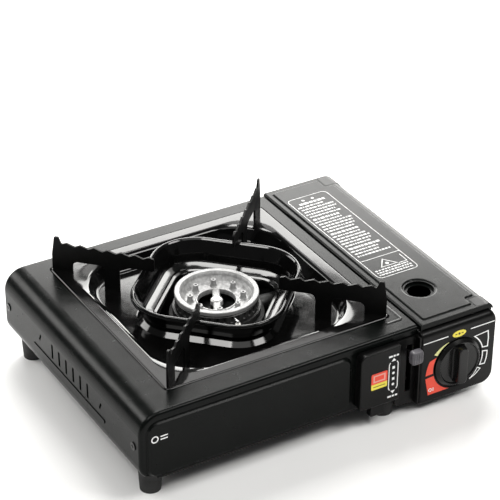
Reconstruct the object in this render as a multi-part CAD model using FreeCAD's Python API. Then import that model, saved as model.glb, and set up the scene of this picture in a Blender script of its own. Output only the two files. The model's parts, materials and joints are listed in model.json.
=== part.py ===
import FreeCAD, Part
import math
import os

# Portable cartridge stove, millimetres, +Z up, +X towards the cartridge side, -Y towards the cook.
# The model is drawn about the middle of the body and moved along Y when it is written,
# so that the origin is under the middle of the whole footprint, knob included.

V = FreeCAD.Vector
X_AXIS = V(1, 0, 0)
Y_AXIS = V(0, 1, 0)
Z_AXIS = V(0, 0, 1)

# ---- driving dimensions -------------------------------------------------------------------
SHEET = 0.8                 # steel sheet thickness
GAP = 0.3                   # working gap between bodies
WIDTH = 340.0               # across the whole stove
DEPTH = 254.0               # body, front panel to rear panel
TOP_Z = 84.0                # top of the burner box
BOTTOM_Z = 20.0             # underside of the burner box
FRAME_SHIFT_Y = 7.6         # drawn body centre to footprint centre

LEFT_X = -WIDTH / 2 + 0.8   # shell face, the side screws stand 0.8 proud of it
FRONT_Y = -DEPTH / 2
REAR_Y = DEPTH / 2
BOX_RIGHT_X = 93.0          # where the shell's top ends
TOP_RADIUS = 19.0
BOTTOM_RADIUS = 15.0
EDGE_RADIUS = 3.2           # front and rear edges of the shell
FLANGE_TOP_Z = 77.0         # lower edge of the shell's front and rear flanges
FLANGE_LEFT_X = -164.0

BURNER_X = -25.6
BURNER_Y = 3.0

TRAY_HALF = 106.3
TRAY_THICK = 0.8
RECESS_HALF = 94.0
RECESS_RADIUS = 46.0
RECESS_FLOOR_Z = 71.0
OPENING_HALF = 107.6
LEDGE_Z = 81.0

COLLAR_HALF = 66.0
COLLAR_RADIUS = 35.0
COLLAR_BASE_HALF = 57.0
COLLAR_TOP_Z = 96.0
WELL_HALF = 45.0
WELL_RADIUS = 20.0

FIN_THICK = 1.8
FIN_OUTER_R = 147.5
FIN_TOOTH_PITCH = 12.3
FIN_TOOTH_DEPTH = 2.8

HEAD_RADIUS = 36.3
HEAD_TOP_Z = 86.0
HEAD_FLOOR_Z = 76.0
PORT_COUNT = 8
PORT_PITCH_R = 22.9

BAY_LEFT_X = 94.0
BAY_RIGHT_X = 166.4
BAY_BOTTOM_Z = 8.5
BAY_WALL_TOP_Z = 70.0
BAY_END_TOP_Z = 78.5
BAY_FRONT_Y = -127.0
CARTRIDGE_X = 131.0
CARTRIDGE_Z = 45.5
CARTRIDGE_R = 33.5

LID_LEFT_X = 94.6
LID_RIGHT_X = 169.2
LID_TOP_Z = 85.6
LID_FRONT_Y = -130.0
LID_REAR_Y = 126.8
LID_HINGE_X = 166.8
LID_HINGE_Z = 72.8
HINGE_PIN_R = 1.2
KNUCKLE_R = 2.2
FINGER_X = 125.3
FINGER_Y = -82.0
FINGER_R = 10.3

PANEL_Y = -134.5
PANEL_LEFT_X = 93.4
PANEL_RIGHT_X = 170.0
PANEL_BOTTOM_Z = 7.4
PANEL_TOP_Z = 79.0
KNOB_X = 131.5
KNOB_Z = 39.0
KNOB_R = 23.4
KNOB_RIM_R = 20.6
KNOB_RIM_Y = -137.3
KNOB_FRONT_Y = -143.2
SHAFT_R = 3.0

JET_X = 68.0                # mouth of the mixer tube, jet behind it
PIPE_R = 1.5
PIPE_Z = 24.5
PIPE_CROSS_Y = -84.0
PIPE_BAY_X = 101.5
LEAD_CROSS_Y = -114.0
STRIP_Z = 68.6
STRIP_END_Y = 37.0
ELECTRODE_X = BURNER_X - 5.0
ELECTRODE_Y = BURNER_Y - 45.0

LEVER_PIVOT_Y = -93.0
LEVER_PIVOT_Z = 46.0
LEVER_X = 84.0
LEVER_PIN_ARM = 16.0
LEVER_PIN_TILT = 19.5       # degrees, drive pin leans back at rest
PULL_BAR_X = 88.0

FOOT_R = 10.0
FEET = {"foot_front_left": (-152.0, -110.0), "foot_rear_left": (-152.0, 110.0),
        "foot_front_right": (68.3, -115.5), "foot_rear_right": (66.0, 110.0)}


# ---- small helpers ------------------------------------------------------------------------
def box(x0, x1, y0, y1, z0, z1):
    return Part.makeBox(x1 - x0, y1 - y0, z1 - z0, V(x0, y0, z0))


def cyl(radius, length, start, axis=Z_AXIS):
    return Part.makeCylinder(radius, length, start, axis)


def ring(outer, inner, length, start, axis=Z_AXIS):
    bore = cyl(inner, length + 2, start - axis, axis)
    return cyl(outer, length, start, axis).cut(bore)


def fuse(shapes):
    return shapes[0].multiFuse(shapes[1:]).removeSplitter()


def compound(shapes):
    return Part.makeCompound(shapes)


def rounded_outline(points, radii):
    """Closed wire through flat points, each corner rounded by its own radius."""
    count = len(points)
    starts = []
    ends = []
    middles = []
    for i, corner in enumerate(points):
        back = (points[i - 1] - corner).normalize()
        ahead = (points[(i + 1) % count] - corner).normalize()
        radius = radii[i]
        if radius == 0:
            starts.append(corner)
            ends.append(corner)
            middles.append(None)
            continue
        half = back.getAngle(ahead) / 2
        reach = radius / math.tan(half)
        inward = (back + ahead).normalize()
        centre = corner + inward * (radius / math.sin(half))
        starts.append(corner + back * reach)
        ends.append(corner + ahead * reach)
        middles.append(centre - inward * radius)
    edges = []
    for i in range(count):
        if middles[i] is not None:
            edges.append(Part.Arc(starts[i], middles[i], ends[i]).toShape())
        nxt = (i + 1) % count
        if ends[i].distanceToPoint(starts[nxt]) > 1e-6:
            edges.append(Part.LineSegment(ends[i], starts[nxt]).toShape())
    return Part.Wire(edges)


def prism(points, radii, push):
    solid = Part.Face(rounded_outline(points, radii)).extrude(push)
    if solid.Volume < 0:
        solid.reverse()
    return solid


def plate_xz(outline, radii, y0, y1):
    points = [V(x, y0, z) for x, z in outline]
    return prism(points, radii, V(0, y1 - y0, 0))


def plate_yz(outline, radii, x0, x1):
    points = [V(x0, y, z) for y, z in outline]
    return prism(points, radii, V(x1 - x0, 0, 0))


def square_points(half, z, turn=0.0):
    """Corners of a square about the burner, turned by an angle in degrees."""
    reach = half * math.sqrt(2)
    points = []
    for i in range(4):
        angle = math.radians(45 + 90 * i + turn)
        points.append(V(BURNER_X + reach * math.cos(angle), BURNER_Y + reach * math.sin(angle), z))
    return points


def square_prism(half, radius, z0, z1, turn=0.0):
    return prism(square_points(half, z0, turn), [radius] * 4, V(0, 0, z1 - z0))


def square_loft(stations, turn=0.0):
    """Ruled solid through rounded squares, each station a half width, corner radius and height."""
    wires = [rounded_outline(square_points(half, z, turn), [radius] * 4)
             for half, radius, z in stations]
    return Part.makeLoft(wires, True, True)


def revolve_z(outline, centre_x=BURNER_X, centre_y=BURNER_Y):
    points = [V(centre_x + r, centre_y, z) for r, z in outline]
    face = Part.Face(Part.makePolygon(points + [points[0]]))
    return face.revolve(V(centre_x, centre_y, 0), Z_AXIS, 360)


def revolve_y(outline, axis_x, axis_z):
    """Turned solid about a line along Y, the outline holds radius and y pairs."""
    points = [V(axis_x + r, y, axis_z) for r, y in outline]
    face = Part.Face(Part.makePolygon(points + [points[0]]))
    return face.revolve(V(axis_x, 0, axis_z), Y_AXIS, 360)


def tube_route(points, bend, radius):
    """Round bar of straight runs joined by tangent arcs of one bend radius."""
    pieces = []
    start = points[0]
    for i in range(1, len(points)):
        if i == len(points) - 1:
            pieces.append(cyl(radius, start.distanceToPoint(points[i]), start, points[i] - start))
            break
        corner = points[i]
        back = (points[i - 1] - corner).normalize()
        ahead = (points[i + 1] - corner).normalize()
        half = back.getAngle(ahead) / 2
        reach = bend / math.tan(half)
        arc_start = corner + back * reach
        pieces.append(cyl(radius, start.distanceToPoint(arc_start), start, arc_start - start))
        normal = back.cross(ahead).normalize()
        centre = corner + (back + ahead).normalize() * (bend / math.sin(half))
        disc = Part.Face(Part.Wire(Part.Circle(arc_start, back, radius).toShape()))
        turn = 180 - math.degrees(2 * half)
        pieces.append(disc.revolve(centre, normal * -1, turn))
        start = corner + ahead * reach
    return fuse(pieces)


def screw_head(place, axis, radius=3.6, height=0.8):
    """Low domed head with a cross recess, its seat at place."""
    direction = V(axis).normalize()
    head = cyl(radius, height, place, direction)
    side = direction.cross(Z_AXIS) if abs(direction.z) < 0.5 else V(1, 0, 0)
    other = direction.cross(side)
    for blade in (side, other):
        slot = Part.makeBox(radius * 1.1, 0.8, height)
        slot.translate(V(-radius * 0.55, -0.4, 0))
        turn = FreeCAD.Rotation(blade, direction.cross(blade), direction, "XYZ")
        slot.Placement = FreeCAD.Placement(place + direction * (height * 0.45), turn).multiply(
            slot.Placement)
        head = head.cut(slot)
    return head


def save(name, shape):
    moved = shape.copy()
    moved.translate(V(0, FRAME_SHIFT_Y, 0))
    moved.exportStep(os.path.join("parts", name + ".step"))


# ---- body shell and panels ----------------------------------------------------------------
def wrap_block(inset, edge_radius):
    """Solid with the outer form of the burner box, its front and rear edges rounded."""
    left = LEFT_X + inset
    right = BOX_RIGHT_X + 20
    top = TOP_Z - inset
    bottom = BOTTOM_Z + SHEET + inset
    outline = [(right, top), (left, top), (left, bottom), (right, bottom)]
    radii = [0, TOP_RADIUS - inset, BOTTOM_RADIUS - inset, 0]
    block = plate_xz(outline, radii, FRONT_Y + inset, REAR_Y - inset)
    edges = [e for e in block.Edges
             if e.BoundBox.YLength < 0.01 and e.BoundBox.XMin < BOX_RIGHT_X and e.BoundBox.ZMax > bottom + 1]
    return block.makeFillet(edge_radius, edges)


def make_body_shell():
    """Wrapped steel cover: top, left side, bottom return and narrow front and rear flanges."""
    shell = wrap_block(0, EDGE_RADIUS).cut(wrap_block(SHEET, EDGE_RADIUS - SHEET))
    window = [(BOX_RIGHT_X + 30, FLANGE_TOP_Z), (FLANGE_LEFT_X, FLANGE_TOP_Z),
              (FLANGE_LEFT_X, BOTTOM_Z - 5), (BOX_RIGHT_X + 30, BOTTOM_Z - 5)]
    for y0, y1 in ((FRONT_Y - 5, FRONT_Y + 5), (REAR_Y - 5, REAR_Y + 5)):
        shell = shell.cut(plate_xz(window, [0, 12, 0, 0], y0, y1))
    shell = shell.cut(box(-136, BOX_RIGHT_X + 30, FRONT_Y - 5, REAR_Y + 5, BOTTOM_Z - 5, FLANGE_TOP_Z))
    shell = shell.cut(box(BOX_RIGHT_X, BOX_RIGHT_X + 30, FRONT_Y - 5, REAR_Y + 5, 0, 100))
    side = box(BOX_RIGHT_X - SHEET, BOX_RIGHT_X, FRONT_Y + EDGE_RADIUS, REAR_Y - EDGE_RADIUS,
               TOP_Z - 5, TOP_Z - SHEET)
    shell = shell.fuse(side)
    opening = square_prism(OPENING_HALF, 4.5, TOP_Z - 3, TOP_Z + 1)
    lip = square_prism(OPENING_HALF + SHEET, 5.3, LEDGE_Z - SHEET, TOP_Z - SHEET)
    lip = lip.cut(square_prism(OPENING_HALF, 4.5, LEDGE_Z, TOP_Z))
    lip = lip.cut(square_prism(OPENING_HALF - 5, 8, LEDGE_Z - 2, TOP_Z))
    shell = shell.cut(opening).fuse(lip)
    shell = shell.cut(compound(side_vents() + foot_holes()))
    ridge = plate_yz([(-66, 44.8), (-66, 41.2), (68, 41.2), (68, 44.8)], [1.7] * 4,
                     LEFT_X - 0.7, LEFT_X)
    return shell.fuse(ridge).removeSplitter()


def side_vents():
    """Six upright slots in the left side and a short slanted one beyond each end."""
    vents = []
    for i in range(6):
        y = -35.5 + i * 13.2
        vents.append(box(LEFT_X - 3, LEFT_X + 3, y - 1.6, y + 1.6, 48.5, 62.5))
    for y, z in ((54.0, 56.5), (-58.5, 54.5)):
        short = box(LEFT_X - 3, LEFT_X + 3, y - 1.2, y + 1.2, z - 3.5, z + 3.5)
        short.rotate(V(LEFT_X, y, z), X_AXIS, 25)
        vents.append(short)
    return vents


def end_sheet(y0, y1):
    """Flat panel that closes one end of the burner box behind the shell's flange."""
    left = LEFT_X + EDGE_RADIUS
    top = TOP_Z - EDGE_RADIUS
    bottom = BOTTOM_Z + SHEET + EDGE_RADIUS
    outline = [(BOX_RIGHT_X, top), (left, top), (left, bottom), (BOX_RIGHT_X, bottom)]
    radii = [0, TOP_RADIUS - EDGE_RADIUS, BOTTOM_RADIUS - EDGE_RADIUS, 0]
    sheet = plate_xz(outline, radii, y0, y1)
    return sheet.fuse(box(-154, BOX_RIGHT_X - 14, y0, y1, BOTTOM_Z + SHEET, bottom))


def make_front_panel():
    back = FRONT_Y + SHEET
    panel = end_sheet(back, back + SHEET)
    face = [(27, 75.5), (-162, 75.5), (-162, 24), (27, 24)]
    raised = plate_xz(face, [8] * 4, FRONT_Y - 1.6, back)
    edges = [e for e in raised.Edges if e.BoundBox.YMax < FRONT_Y - 1.5]
    raised = raised.makeChamfer(1.2, edges)
    hollow = plate_xz([(25.5, 74), (-160.5, 74), (-160.5, 25.5), (25.5, 25.5)], [6.5] * 4,
                      FRONT_Y - 0.6, back + 2)
    panel = panel.fuse(raised).cut(hollow)
    return panel.cut(box(77, 90, FRONT_Y - 3, FRONT_Y + 4, 22, 80)).removeSplitter()


def make_rear_panel():
    back = REAR_Y - SHEET
    panel = end_sheet(back - SHEET, back)
    face = [(70, 72), (-150, 72), (-150, 32), (70, 32)]
    raised = plate_xz(face, [8] * 4, back, REAR_Y + 1.0)
    edges = [e for e in raised.Edges if e.BoundBox.YMin > REAR_Y + 0.9]
    raised = raised.makeChamfer(0.7, edges)
    hollow = plate_xz([(68.6, 70.6), (-148.6, 70.6), (-148.6, 33.4), (68.6, 33.4)], [6.6] * 4,
                      back - 3, REAR_Y + 0.1)
    panel = panel.fuse(raised).cut(hollow)
    slots = []
    for i in range(9):
        x = -100 + i * 16
        slots.append(plate_xz([(x + 2, 62), (x - 2, 62), (x - 2, 42), (x + 2, 42)], [1.9] * 4,
                              REAR_Y - 5, REAR_Y + 3))
    return panel.cut(compound(slots)).removeSplitter()


def make_base_plate():
    z0 = BOTTOM_Z
    outline = [V(BOX_RIGHT_X - 14, FRONT_Y + SHEET, z0), V(-150, FRONT_Y + SHEET, z0),
               V(-150, REAR_Y - SHEET, z0), V(BOX_RIGHT_X - 14, REAR_Y - SHEET, z0)]
    plate = prism(outline, [0] * 4, V(0, 0, SHEET))
    slots = []
    for i in range(7):
        x = BURNER_X + (i - 3) * 16
        slots.append(prism([V(x + 2.5, BURNER_Y - 55, z0 - 2), V(x - 2.5, BURNER_Y - 55, z0 - 2),
                            V(x - 2.5, BURNER_Y + 55, z0 - 2), V(x + 2.5, BURNER_Y + 55, z0 - 2)],
                           [2.4] * 4, V(0, 0, 6)))
    plate = plate.cut(compound(slots + foot_holes()))
    for side in (-1, 1):
        y = BURNER_Y + side * 80
        plate = plate.fuse(box(-130, 60, y - 3, y + 3, z0 + SHEET, z0 + SHEET + 1.6))
    return plate.removeSplitter()


def make_cartridge_tub():
    """Open-topped trough that holds the cartridge, with a step up to the box's base plate."""
    outer = [(79, 20), (82.5, BAY_BOTTOM_Z), (BAY_RIGHT_X - 1, BAY_BOTTOM_Z), (BAY_RIGHT_X, BAY_WALL_TOP_Z)]
    inner = [(BAY_RIGHT_X - SHEET, BAY_WALL_TOP_Z), (BAY_RIGHT_X - SHEET - 1, BAY_BOTTOM_Z + SHEET),
             (82.5 + SHEET, BAY_BOTTOM_Z + SHEET), (79 + SHEET, 20)]
    radii = [0, 5, 13, 0, 0, 12.2, 4.2, 0]
    front = BAY_FRONT_Y
    tub = plate_xz(outer + inner, radii, front, REAR_Y)
    wall = [(79 + SHEET, 20), (82.5 + SHEET, BAY_BOTTOM_Z + SHEET),
            (BAY_RIGHT_X - SHEET - 1, BAY_BOTTOM_Z + SHEET), (BAY_RIGHT_X - SHEET, BAY_END_TOP_Z),
            (BOX_RIGHT_X, BAY_END_TOP_Z), (BOX_RIGHT_X, 20)]
    wall_radii = [0, 4.2, 12.2, 0, 0, 0]
    tub = tub.fuse(plate_xz(wall, wall_radii, REAR_Y - SHEET, REAR_Y))
    head = plate_xz(wall, wall_radii, front, front + SHEET)
    head = head.cut(cyl(SHAFT_R + 1.5, 10, V(KNOB_X, front - 5, KNOB_Z), Y_AXIS))
    head = head.cut(cyl(3.0, 10, V(KNOB_X + 22, front - 5, 62), Y_AXIS))
    tub = tub.fuse(head)
    for y in (-25, 30):
        tub = tub.fuse(box(100, 158, y - 2.5, y + 2.5, BAY_BOTTOM_Z + SHEET, BAY_BOTTOM_Z + 2.0))
    return tub.removeSplitter()


def make_partition_plate():
    """Steel wall between the burner box and the cartridge bay, with the lever's slot."""
    x0 = BAY_LEFT_X - 0.6
    plate = box(x0, x0 + SHEET, FRONT_Y + 2, 80, 21.5, 79)
    window = box(x0 - 1, x0 + 2, -20, 28, 30, 62)
    notch = box(x0 - 1, x0 + 2, STRIP_END_Y - 5, STRIP_END_Y + 5, STRIP_Z - 1, 80)
    pipe_hole = cyl(2.4, 4, V(x0 - 1, PIPE_CROSS_Y, PIPE_Z), X_AXIS)
    lead_hole = cyl(2.0, 4, V(x0 - 1, LEAD_CROSS_Y, PIPE_Z), X_AXIS)
    return plate.cut(compound([window, notch, pipe_hole, lead_hole]))


def make_burner_well():
    """Pan under the tray that closes the box below the burner."""
    z0 = 46.0
    z1 = 66.0
    pan = revolve_z([(14, z0), (52, z0), (60, z1), (64, z1), (64, z1 + SHEET), (59.5, z1 + SHEET),
                     (51.5, z0 + SHEET), (14, z0 + SHEET)])
    legs = []
    for angle in (45, 135, 225, 315):
        leg = box(62, 66, -5, 5, BOTTOM_Z + SHEET, z1 + SHEET)
        leg = leg.fuse(box(60, 64.5, -5, 5, z1, z1 + SHEET))
        leg.rotate(V(0, 0, 0), Z_AXIS, angle)
        leg.translate(V(BURNER_X, BURNER_Y, 0))
        legs.append(leg)
    holes = [cyl(3.6, 10, V(ELECTRODE_X, ELECTRODE_Y, z0 - 4)),
             cyl(8.2, 60, V(BURNER_X + 30, BURNER_Y, 59), X_AXIS)]
    return fuse([pan] + legs).cut(compound(holes))


def foot_holes():
    return [cyl(2.0, 30, V(x, y, 2)) for x, y in FEET.values()]


def make_foot(place):
    x, y = place
    base = BOTTOM_Z
    start = V(x, y, 0)
    body = Part.makeCone(FOOT_R - 1.2, FOOT_R, base, start)
    body = body.cut(ring(FOOT_R + 2, FOOT_R - 0.6, 1.4, V(x, y, 12)))
    return body.cut(compound([cyl(3.2, 6, V(x, y, -1)), cyl(2.0, 30, V(x, y, 2))]))


def make_foot_screws():
    shapes = []
    for x, y in FEET.values():
        seat = BOTTOM_Z + (2 * SHEET if x < 0 else SHEET)
        head = screw_head(V(x, y, 5), V(0, 0, -1), 2.9, 1.4)
        shank = cyl(1.9, seat + 2.4 - 5, V(x, y, 5))
        nut = cyl(3.2, 1.8, V(x, y, seat + 0.1))
        shapes.append(fuse([head, shank, nut]))
    return compound(shapes)


def make_body_screws():
    shapes = []
    for y in (118.0, -116.0):
        shapes.append(screw_head(V(LEFT_X, y, 51.5), V(-1, 0, 0)))
    for x in (-140.0, 60.0):
        shapes.append(screw_head(V(x, REAR_Y - SHEET, 27), V(0, 1, 0)))
    for x in (-120.0, 40.0):
        shapes.append(screw_head(V(x, 115, BOTTOM_Z), V(0, 0, -1)))
    return compound(shapes)


# ---- burner -------------------------------------------------------------------------------
def make_burner_head():
    top = HEAD_TOP_Z
    floor = HEAD_FLOOR_Z
    head = revolve_z([(14.5, floor - 4), (36.3, floor - 4), (36.3, floor + 2), (HEAD_RADIUS, top - 1),
                      (HEAD_RADIUS - 1, top), (33.2, top), (32.2, top - 1), (30.5, floor + 1),
                      (29.5, floor), (17.2, floor), (16.6, floor + 1.6), (15, floor + 1.6),
                      (14.5, floor + 0.8)])
    strut = box(-15, 15, -3.5, 3.5, floor - 4, floor - 0.5)
    hub = cyl(5.2, 3.9, V(0, 0, floor - 4))
    arm = strut.fuse(hub)
    arm.rotate(V(0, 0, 0), Z_AXIS, 63)
    arm.translate(V(BURNER_X, BURNER_Y, 0))
    head = head.fuse(arm.cut(cyl(1.7, 40, V(BURNER_X, BURNER_Y, 50))))
    ports = []
    bores = []
    for i in range(PORT_COUNT):
        angle = math.radians(22.5 + i * 360 / PORT_COUNT)
        x = BURNER_X + PORT_PITCH_R * math.cos(angle)
        y = BURNER_Y + PORT_PITCH_R * math.sin(angle)
        ports.append(Part.makeCone(2.9, 2.1, top - floor, V(x, y, floor - 0.2)))
        bores.append(cyl(1.0, 12, V(x, y, floor + 1)))
    head = head.multiFuse(ports).cut(compound(bores))
    slots = []
    for i in range(36):
        slot = box(HEAD_RADIUS - 1.4, HEAD_RADIUS + 1, -0.55, 0.55, floor - 2.4, floor + 2.2)
        slot.rotate(V(0, 0, 0), Z_AXIS, i * 10)
        slot.translate(V(BURNER_X, BURNER_Y, 0))
        slots.append(slot)
    return head.cut(compound(slots)).removeSplitter()


def make_burner_base():
    floor = HEAD_FLOOR_Z - 4
    cup = revolve_z([(5.5, 50), (13, 50), (20, 56), (39, 60), (41, 62), (41, 65), (38, 66.5),
                     (38, floor), (35, floor), (35, 68), (30, 62), (18, 58.5), (11, 53),
                     (5.5, 53)])
    hub = revolve_z([(1.7, 53), (5.5, 53), (5.5, floor), (1.7, floor)])
    foot = revolve_z([(1.7, 50), (5.5, 50), (5.5, 53), (1.7, 53)])
    port = cyl(7.5, 30, V(BURNER_X + 16, BURNER_Y, 59), X_AXIS)
    cup = fuse([cup, hub, foot])
    return cup.cut(port)


def make_burner_screw():
    start = V(BURNER_X, BURNER_Y, 52)
    head = screw_head(V(BURNER_X, BURNER_Y, HEAD_FLOOR_Z - 0.1), V(0, 0, 1), 3.4, 1.8)
    return fuse([cyl(1.7, HEAD_FLOOR_Z - 0.1 - 52, start), head])


def make_mixer_tube():
    """Venturi tube from the jet to the burner base."""
    x0 = BURNER_X + 36
    x1 = JET_X + 2
    y = BURNER_Y
    z = 59.0
    outline = [(6.5, x0), (7.5, x0), (6.5, x0 + 20), (7.5, x1 - 22), (9.5, x1 - 16), (9.5, x1 - 2),
               (8.5, x1 - 2), (8.5, x1 - 16), (6.5, x1 - 22), (5.5, x0 + 20)]
    points = [V(x, y + r, z) for r, x in outline]
    face = Part.Face(Part.makePolygon(points + [points[0]]))
    return face.revolve(V(0, y, z), X_AXIS, 360)


def make_air_shutter():
    x = JET_X - 9
    collar = ring(11, 9.5, 8, V(x, BURNER_Y, 59), X_AXIS)
    return collar.cut(box(x + 1.5, x + 6.5, BURNER_Y - 4, BURNER_Y + 4, 60, 75))


def make_gas_jet():
    jet = fuse([cyl(4.5, 6.5, V(JET_X + 0.5, BURNER_Y, 59), X_AXIS),
                cyl(2.2, 5, V(JET_X - 4.5, BURNER_Y, 59), X_AXIS)])
    return jet.cut(cyl(0.8, 20, V(JET_X - 6, BURNER_Y, 59), X_AXIS))


def make_gas_pipe():
    """Thin pipe from the regulator to the jet, low under the lever and up to the mixer."""
    start_x = JET_X + 7
    down_x = start_x + 4.6
    points = [V(start_x, BURNER_Y, 59), V(down_x, BURNER_Y, 59), V(down_x, BURNER_Y, PIPE_Z),
              V(down_x, PIPE_CROSS_Y, PIPE_Z), V(PIPE_BAY_X, PIPE_CROSS_Y, PIPE_Z),
              V(PIPE_BAY_X, -96, PIPE_Z)]
    return tube_route(points, 4.0, PIPE_R)


def make_pipe_nuts():
    bore = PIPE_R
    upper = ring(3.6, bore, 3, V(JET_X + 7 + 4.6, BURNER_Y, 50), Z_AXIS)
    lower = ring(3.6, bore, 3.4, V(PIPE_BAY_X, -96, PIPE_Z), Y_AXIS)
    return compound([upper, lower])


def make_spark_electrode():
    x = ELECTRODE_X
    y = ELECTRODE_Y
    return revolve_z([(0.9, 62), (3.0, 62), (3.0, 76), (2.2, 79), (0.9, 79)], x, y)


def make_electrode_pin():
    x = ELECTRODE_X
    y = ELECTRODE_Y
    stem = cyl(0.9, 20, V(x, y, 61))
    tip = cyl(0.9, 5.4, V(x, y, 81), Y_AXIS)
    return fuse([stem, Part.makeSphere(0.9, V(x, y, 81)), tip])


def make_electrode_bracket():
    x = ELECTRODE_X
    y = ELECTRODE_Y
    arm = box(x - 4, x + 4, y - 19, y + 4, 66.8, 67.8)
    return arm.cut(cyl(3.05, 4, V(x, y, 65)))


def make_heat_strip():
    """Bent strip behind the burner that carries heat towards the cartridge."""
    z0 = STRIP_Z
    outline = [V(8, 22.5, z0), V(16, 22.5, z0), V(96, STRIP_END_Y - 3.5, z0),
               V(96, STRIP_END_Y + 3.5, z0), V(8, 27, z0)]
    strip = prism(outline, [0] * 5, V(0, 0, SHEET))
    tab = box(8, 14, 24.6, 24.6 + SHEET, z0, 80)
    return strip.fuse(tab).removeSplitter()


# ---- cartridge bay ------------------------------------------------------------------------
def make_cradle(y):
    """Saddle that carries the cartridge's lower side."""
    floor = BAY_BOTTOM_Z + SHEET
    saddle = box(118, 144, y - 4, y + 4, floor, 14.4)
    return saddle.cut(cyl(CARTRIDGE_R + 0.2, 20, V(CARTRIDGE_X, y - 10, CARTRIDGE_Z), Y_AXIS))


def make_regulator_body():
    """Die-cast pressure regulator with the socket that takes the cartridge's stem."""
    axis = V(CARTRIDGE_X, 0, CARTRIDGE_Z)
    core = cyl(19, 24, axis + V(0, -119, 0), Y_AXIS)
    collar = cyl(13.5, 4, axis + V(0, -95, 0), Y_AXIS)
    valve = cyl(7, 5, V(KNOB_X, -122, KNOB_Z), Y_AXIS)
    inlet = box(97.5, 116, -104, -96, 19.5, 34).fuse(box(108, 120, -110, -96, 26, 40))
    body = fuse([core, collar, valve, inlet])
    body = body.cut(cyl(8.2, 13, axis + V(0, -103, 0), Y_AXIS))
    body = body.cut(cyl(SHAFT_R + 0.06, 16, V(KNOB_X, -123, KNOB_Z), Y_AXIS))
    return body.cut(cyl(3.0, 10, V(KNOB_X + 22, -126, 62), Y_AXIS))


def make_regulator_cap():
    cap = revolve_z([(0, 60), (9, 60), (9, 67), (7, 69.5), (0, 69.5)], CARTRIDGE_X, -107)
    return cap.cut(cyl(19, 24, V(CARTRIDGE_X, -119, CARTRIDGE_Z), Y_AXIS))


def make_socket_seal():
    return ring(8.2, 5.0, 2.5, V(CARTRIDGE_X, -103, CARTRIDGE_Z), Y_AXIS)


def make_notch_guide():
    """Tongue that fits the notch in the cartridge's rim."""
    return box(CARTRIDGE_X - 2, CARTRIDGE_X + 2, -95, -89, CARTRIDGE_Z + 15, CARTRIDGE_Z + 19)


def make_piezo_igniter():
    y = -124
    barrel = cyl(6, 18, V(KNOB_X + 22, y, 62), Y_AXIS)
    return fuse([barrel, cyl(2.6, 3, V(KNOB_X + 22, y - 3, 62), Y_AXIS)])


def make_ignition_lead():
    """Insulated lead from the spark maker to the electrode, clipped along the box."""
    y = LEAD_CROSS_Y
    low = 16.0
    points = [V(ELECTRODE_X, ELECTRODE_Y, 61), V(ELECTRODE_X, ELECTRODE_Y, PIPE_Z),
              V(ELECTRODE_X, y, PIPE_Z), V(100, y, PIPE_Z), V(100, y, low), V(KNOB_X + 22, y, low),
              V(KNOB_X + 22, y, 56)]
    return tube_route(points, 4.0, 1.0)


# ---- hinged lid ---------------------------------------------------------------------------
def lid_profile(inset):
    left = LID_LEFT_X + inset
    right = LID_RIGHT_X - inset
    top = LID_TOP_Z - inset
    outline = [(left, 79.5), (left, top), (right, top), (right, 73.0)]
    return outline, [0, 2.0 - inset, 9.0 - inset, 0]


def make_cartridge_lid():
    outer, outer_radii = lid_profile(0)
    inner, inner_radii = lid_profile(SHEET)
    outline = outer + list(reversed(inner))
    radii = outer_radii + list(reversed(inner_radii))
    lid = plate_xz(outline, radii, LID_FRONT_Y, LID_REAR_Y)
    low = LID_HINGE_Z
    section = [(inner[1][0], low), inner[1], inner[2], (inner[2][0], low)]
    for y in (LID_FRONT_Y, LID_REAR_Y - SHEET):
        flange = plate_xz(section, [0, inner_radii[1], inner_radii[2], 0], y, y + SHEET)
        lid = lid.fuse(flange.common(box(LID_LEFT_X, LID_RIGHT_X, y, y + SHEET, 80.8, 90)))
    notches = [box(151.6, 171, LID_FRONT_Y + 1.0, -115.8, 72, 90),
               box(151.6, 171, 109.8, 126.0, 72, 90),
               box(151.6, 171, LID_FRONT_Y, -129.0, 72, PANEL_TOP_Z + GAP)]
    lid = lid.cut(compound(notches))
    knuckles = []
    for y0, y1 in ((-115.6, -105.6), (99.6, 109.6)):
        barrel = cyl(KNUCKLE_R, y1 - y0, V(LID_HINGE_X, y0, LID_HINGE_Z), Y_AXIS)
        strap = box(LID_RIGHT_X - SHEET - 1.2, LID_RIGHT_X - SHEET, y0, y1, LID_HINGE_Z, 76)
        knuckles.append(barrel.fuse(strap))
    lid = lid.multiFuse(knuckles)
    for y0, y1 in ((-118, -100), (98, 112)):
        lid = lid.cut(cyl(HINGE_PIN_R + 0.05, y1 - y0, V(LID_HINGE_X, y0, LID_HINGE_Z),
                          Y_AXIS))
    well = cyl(13.7, 3.4, V(FINGER_X, FINGER_Y, LID_TOP_Z - 3.4))
    dish = well.cut(cyl(12.9, 2.6, V(FINGER_X, FINGER_Y, LID_TOP_Z - 2.6)))
    dish = dish.cut(cyl(FINGER_R, 8, V(FINGER_X, FINGER_Y, LID_TOP_Z - 6)))
    lid = lid.cut(cyl(13.7, 8, V(FINGER_X, FINGER_Y, LID_TOP_Z - 4))).fuse(dish)
    stiffener = box(99, 158, -2, 2, LID_TOP_Z - SHEET - 2, LID_TOP_Z - SHEET)
    return lid.fuse(stiffener).removeSplitter()


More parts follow.
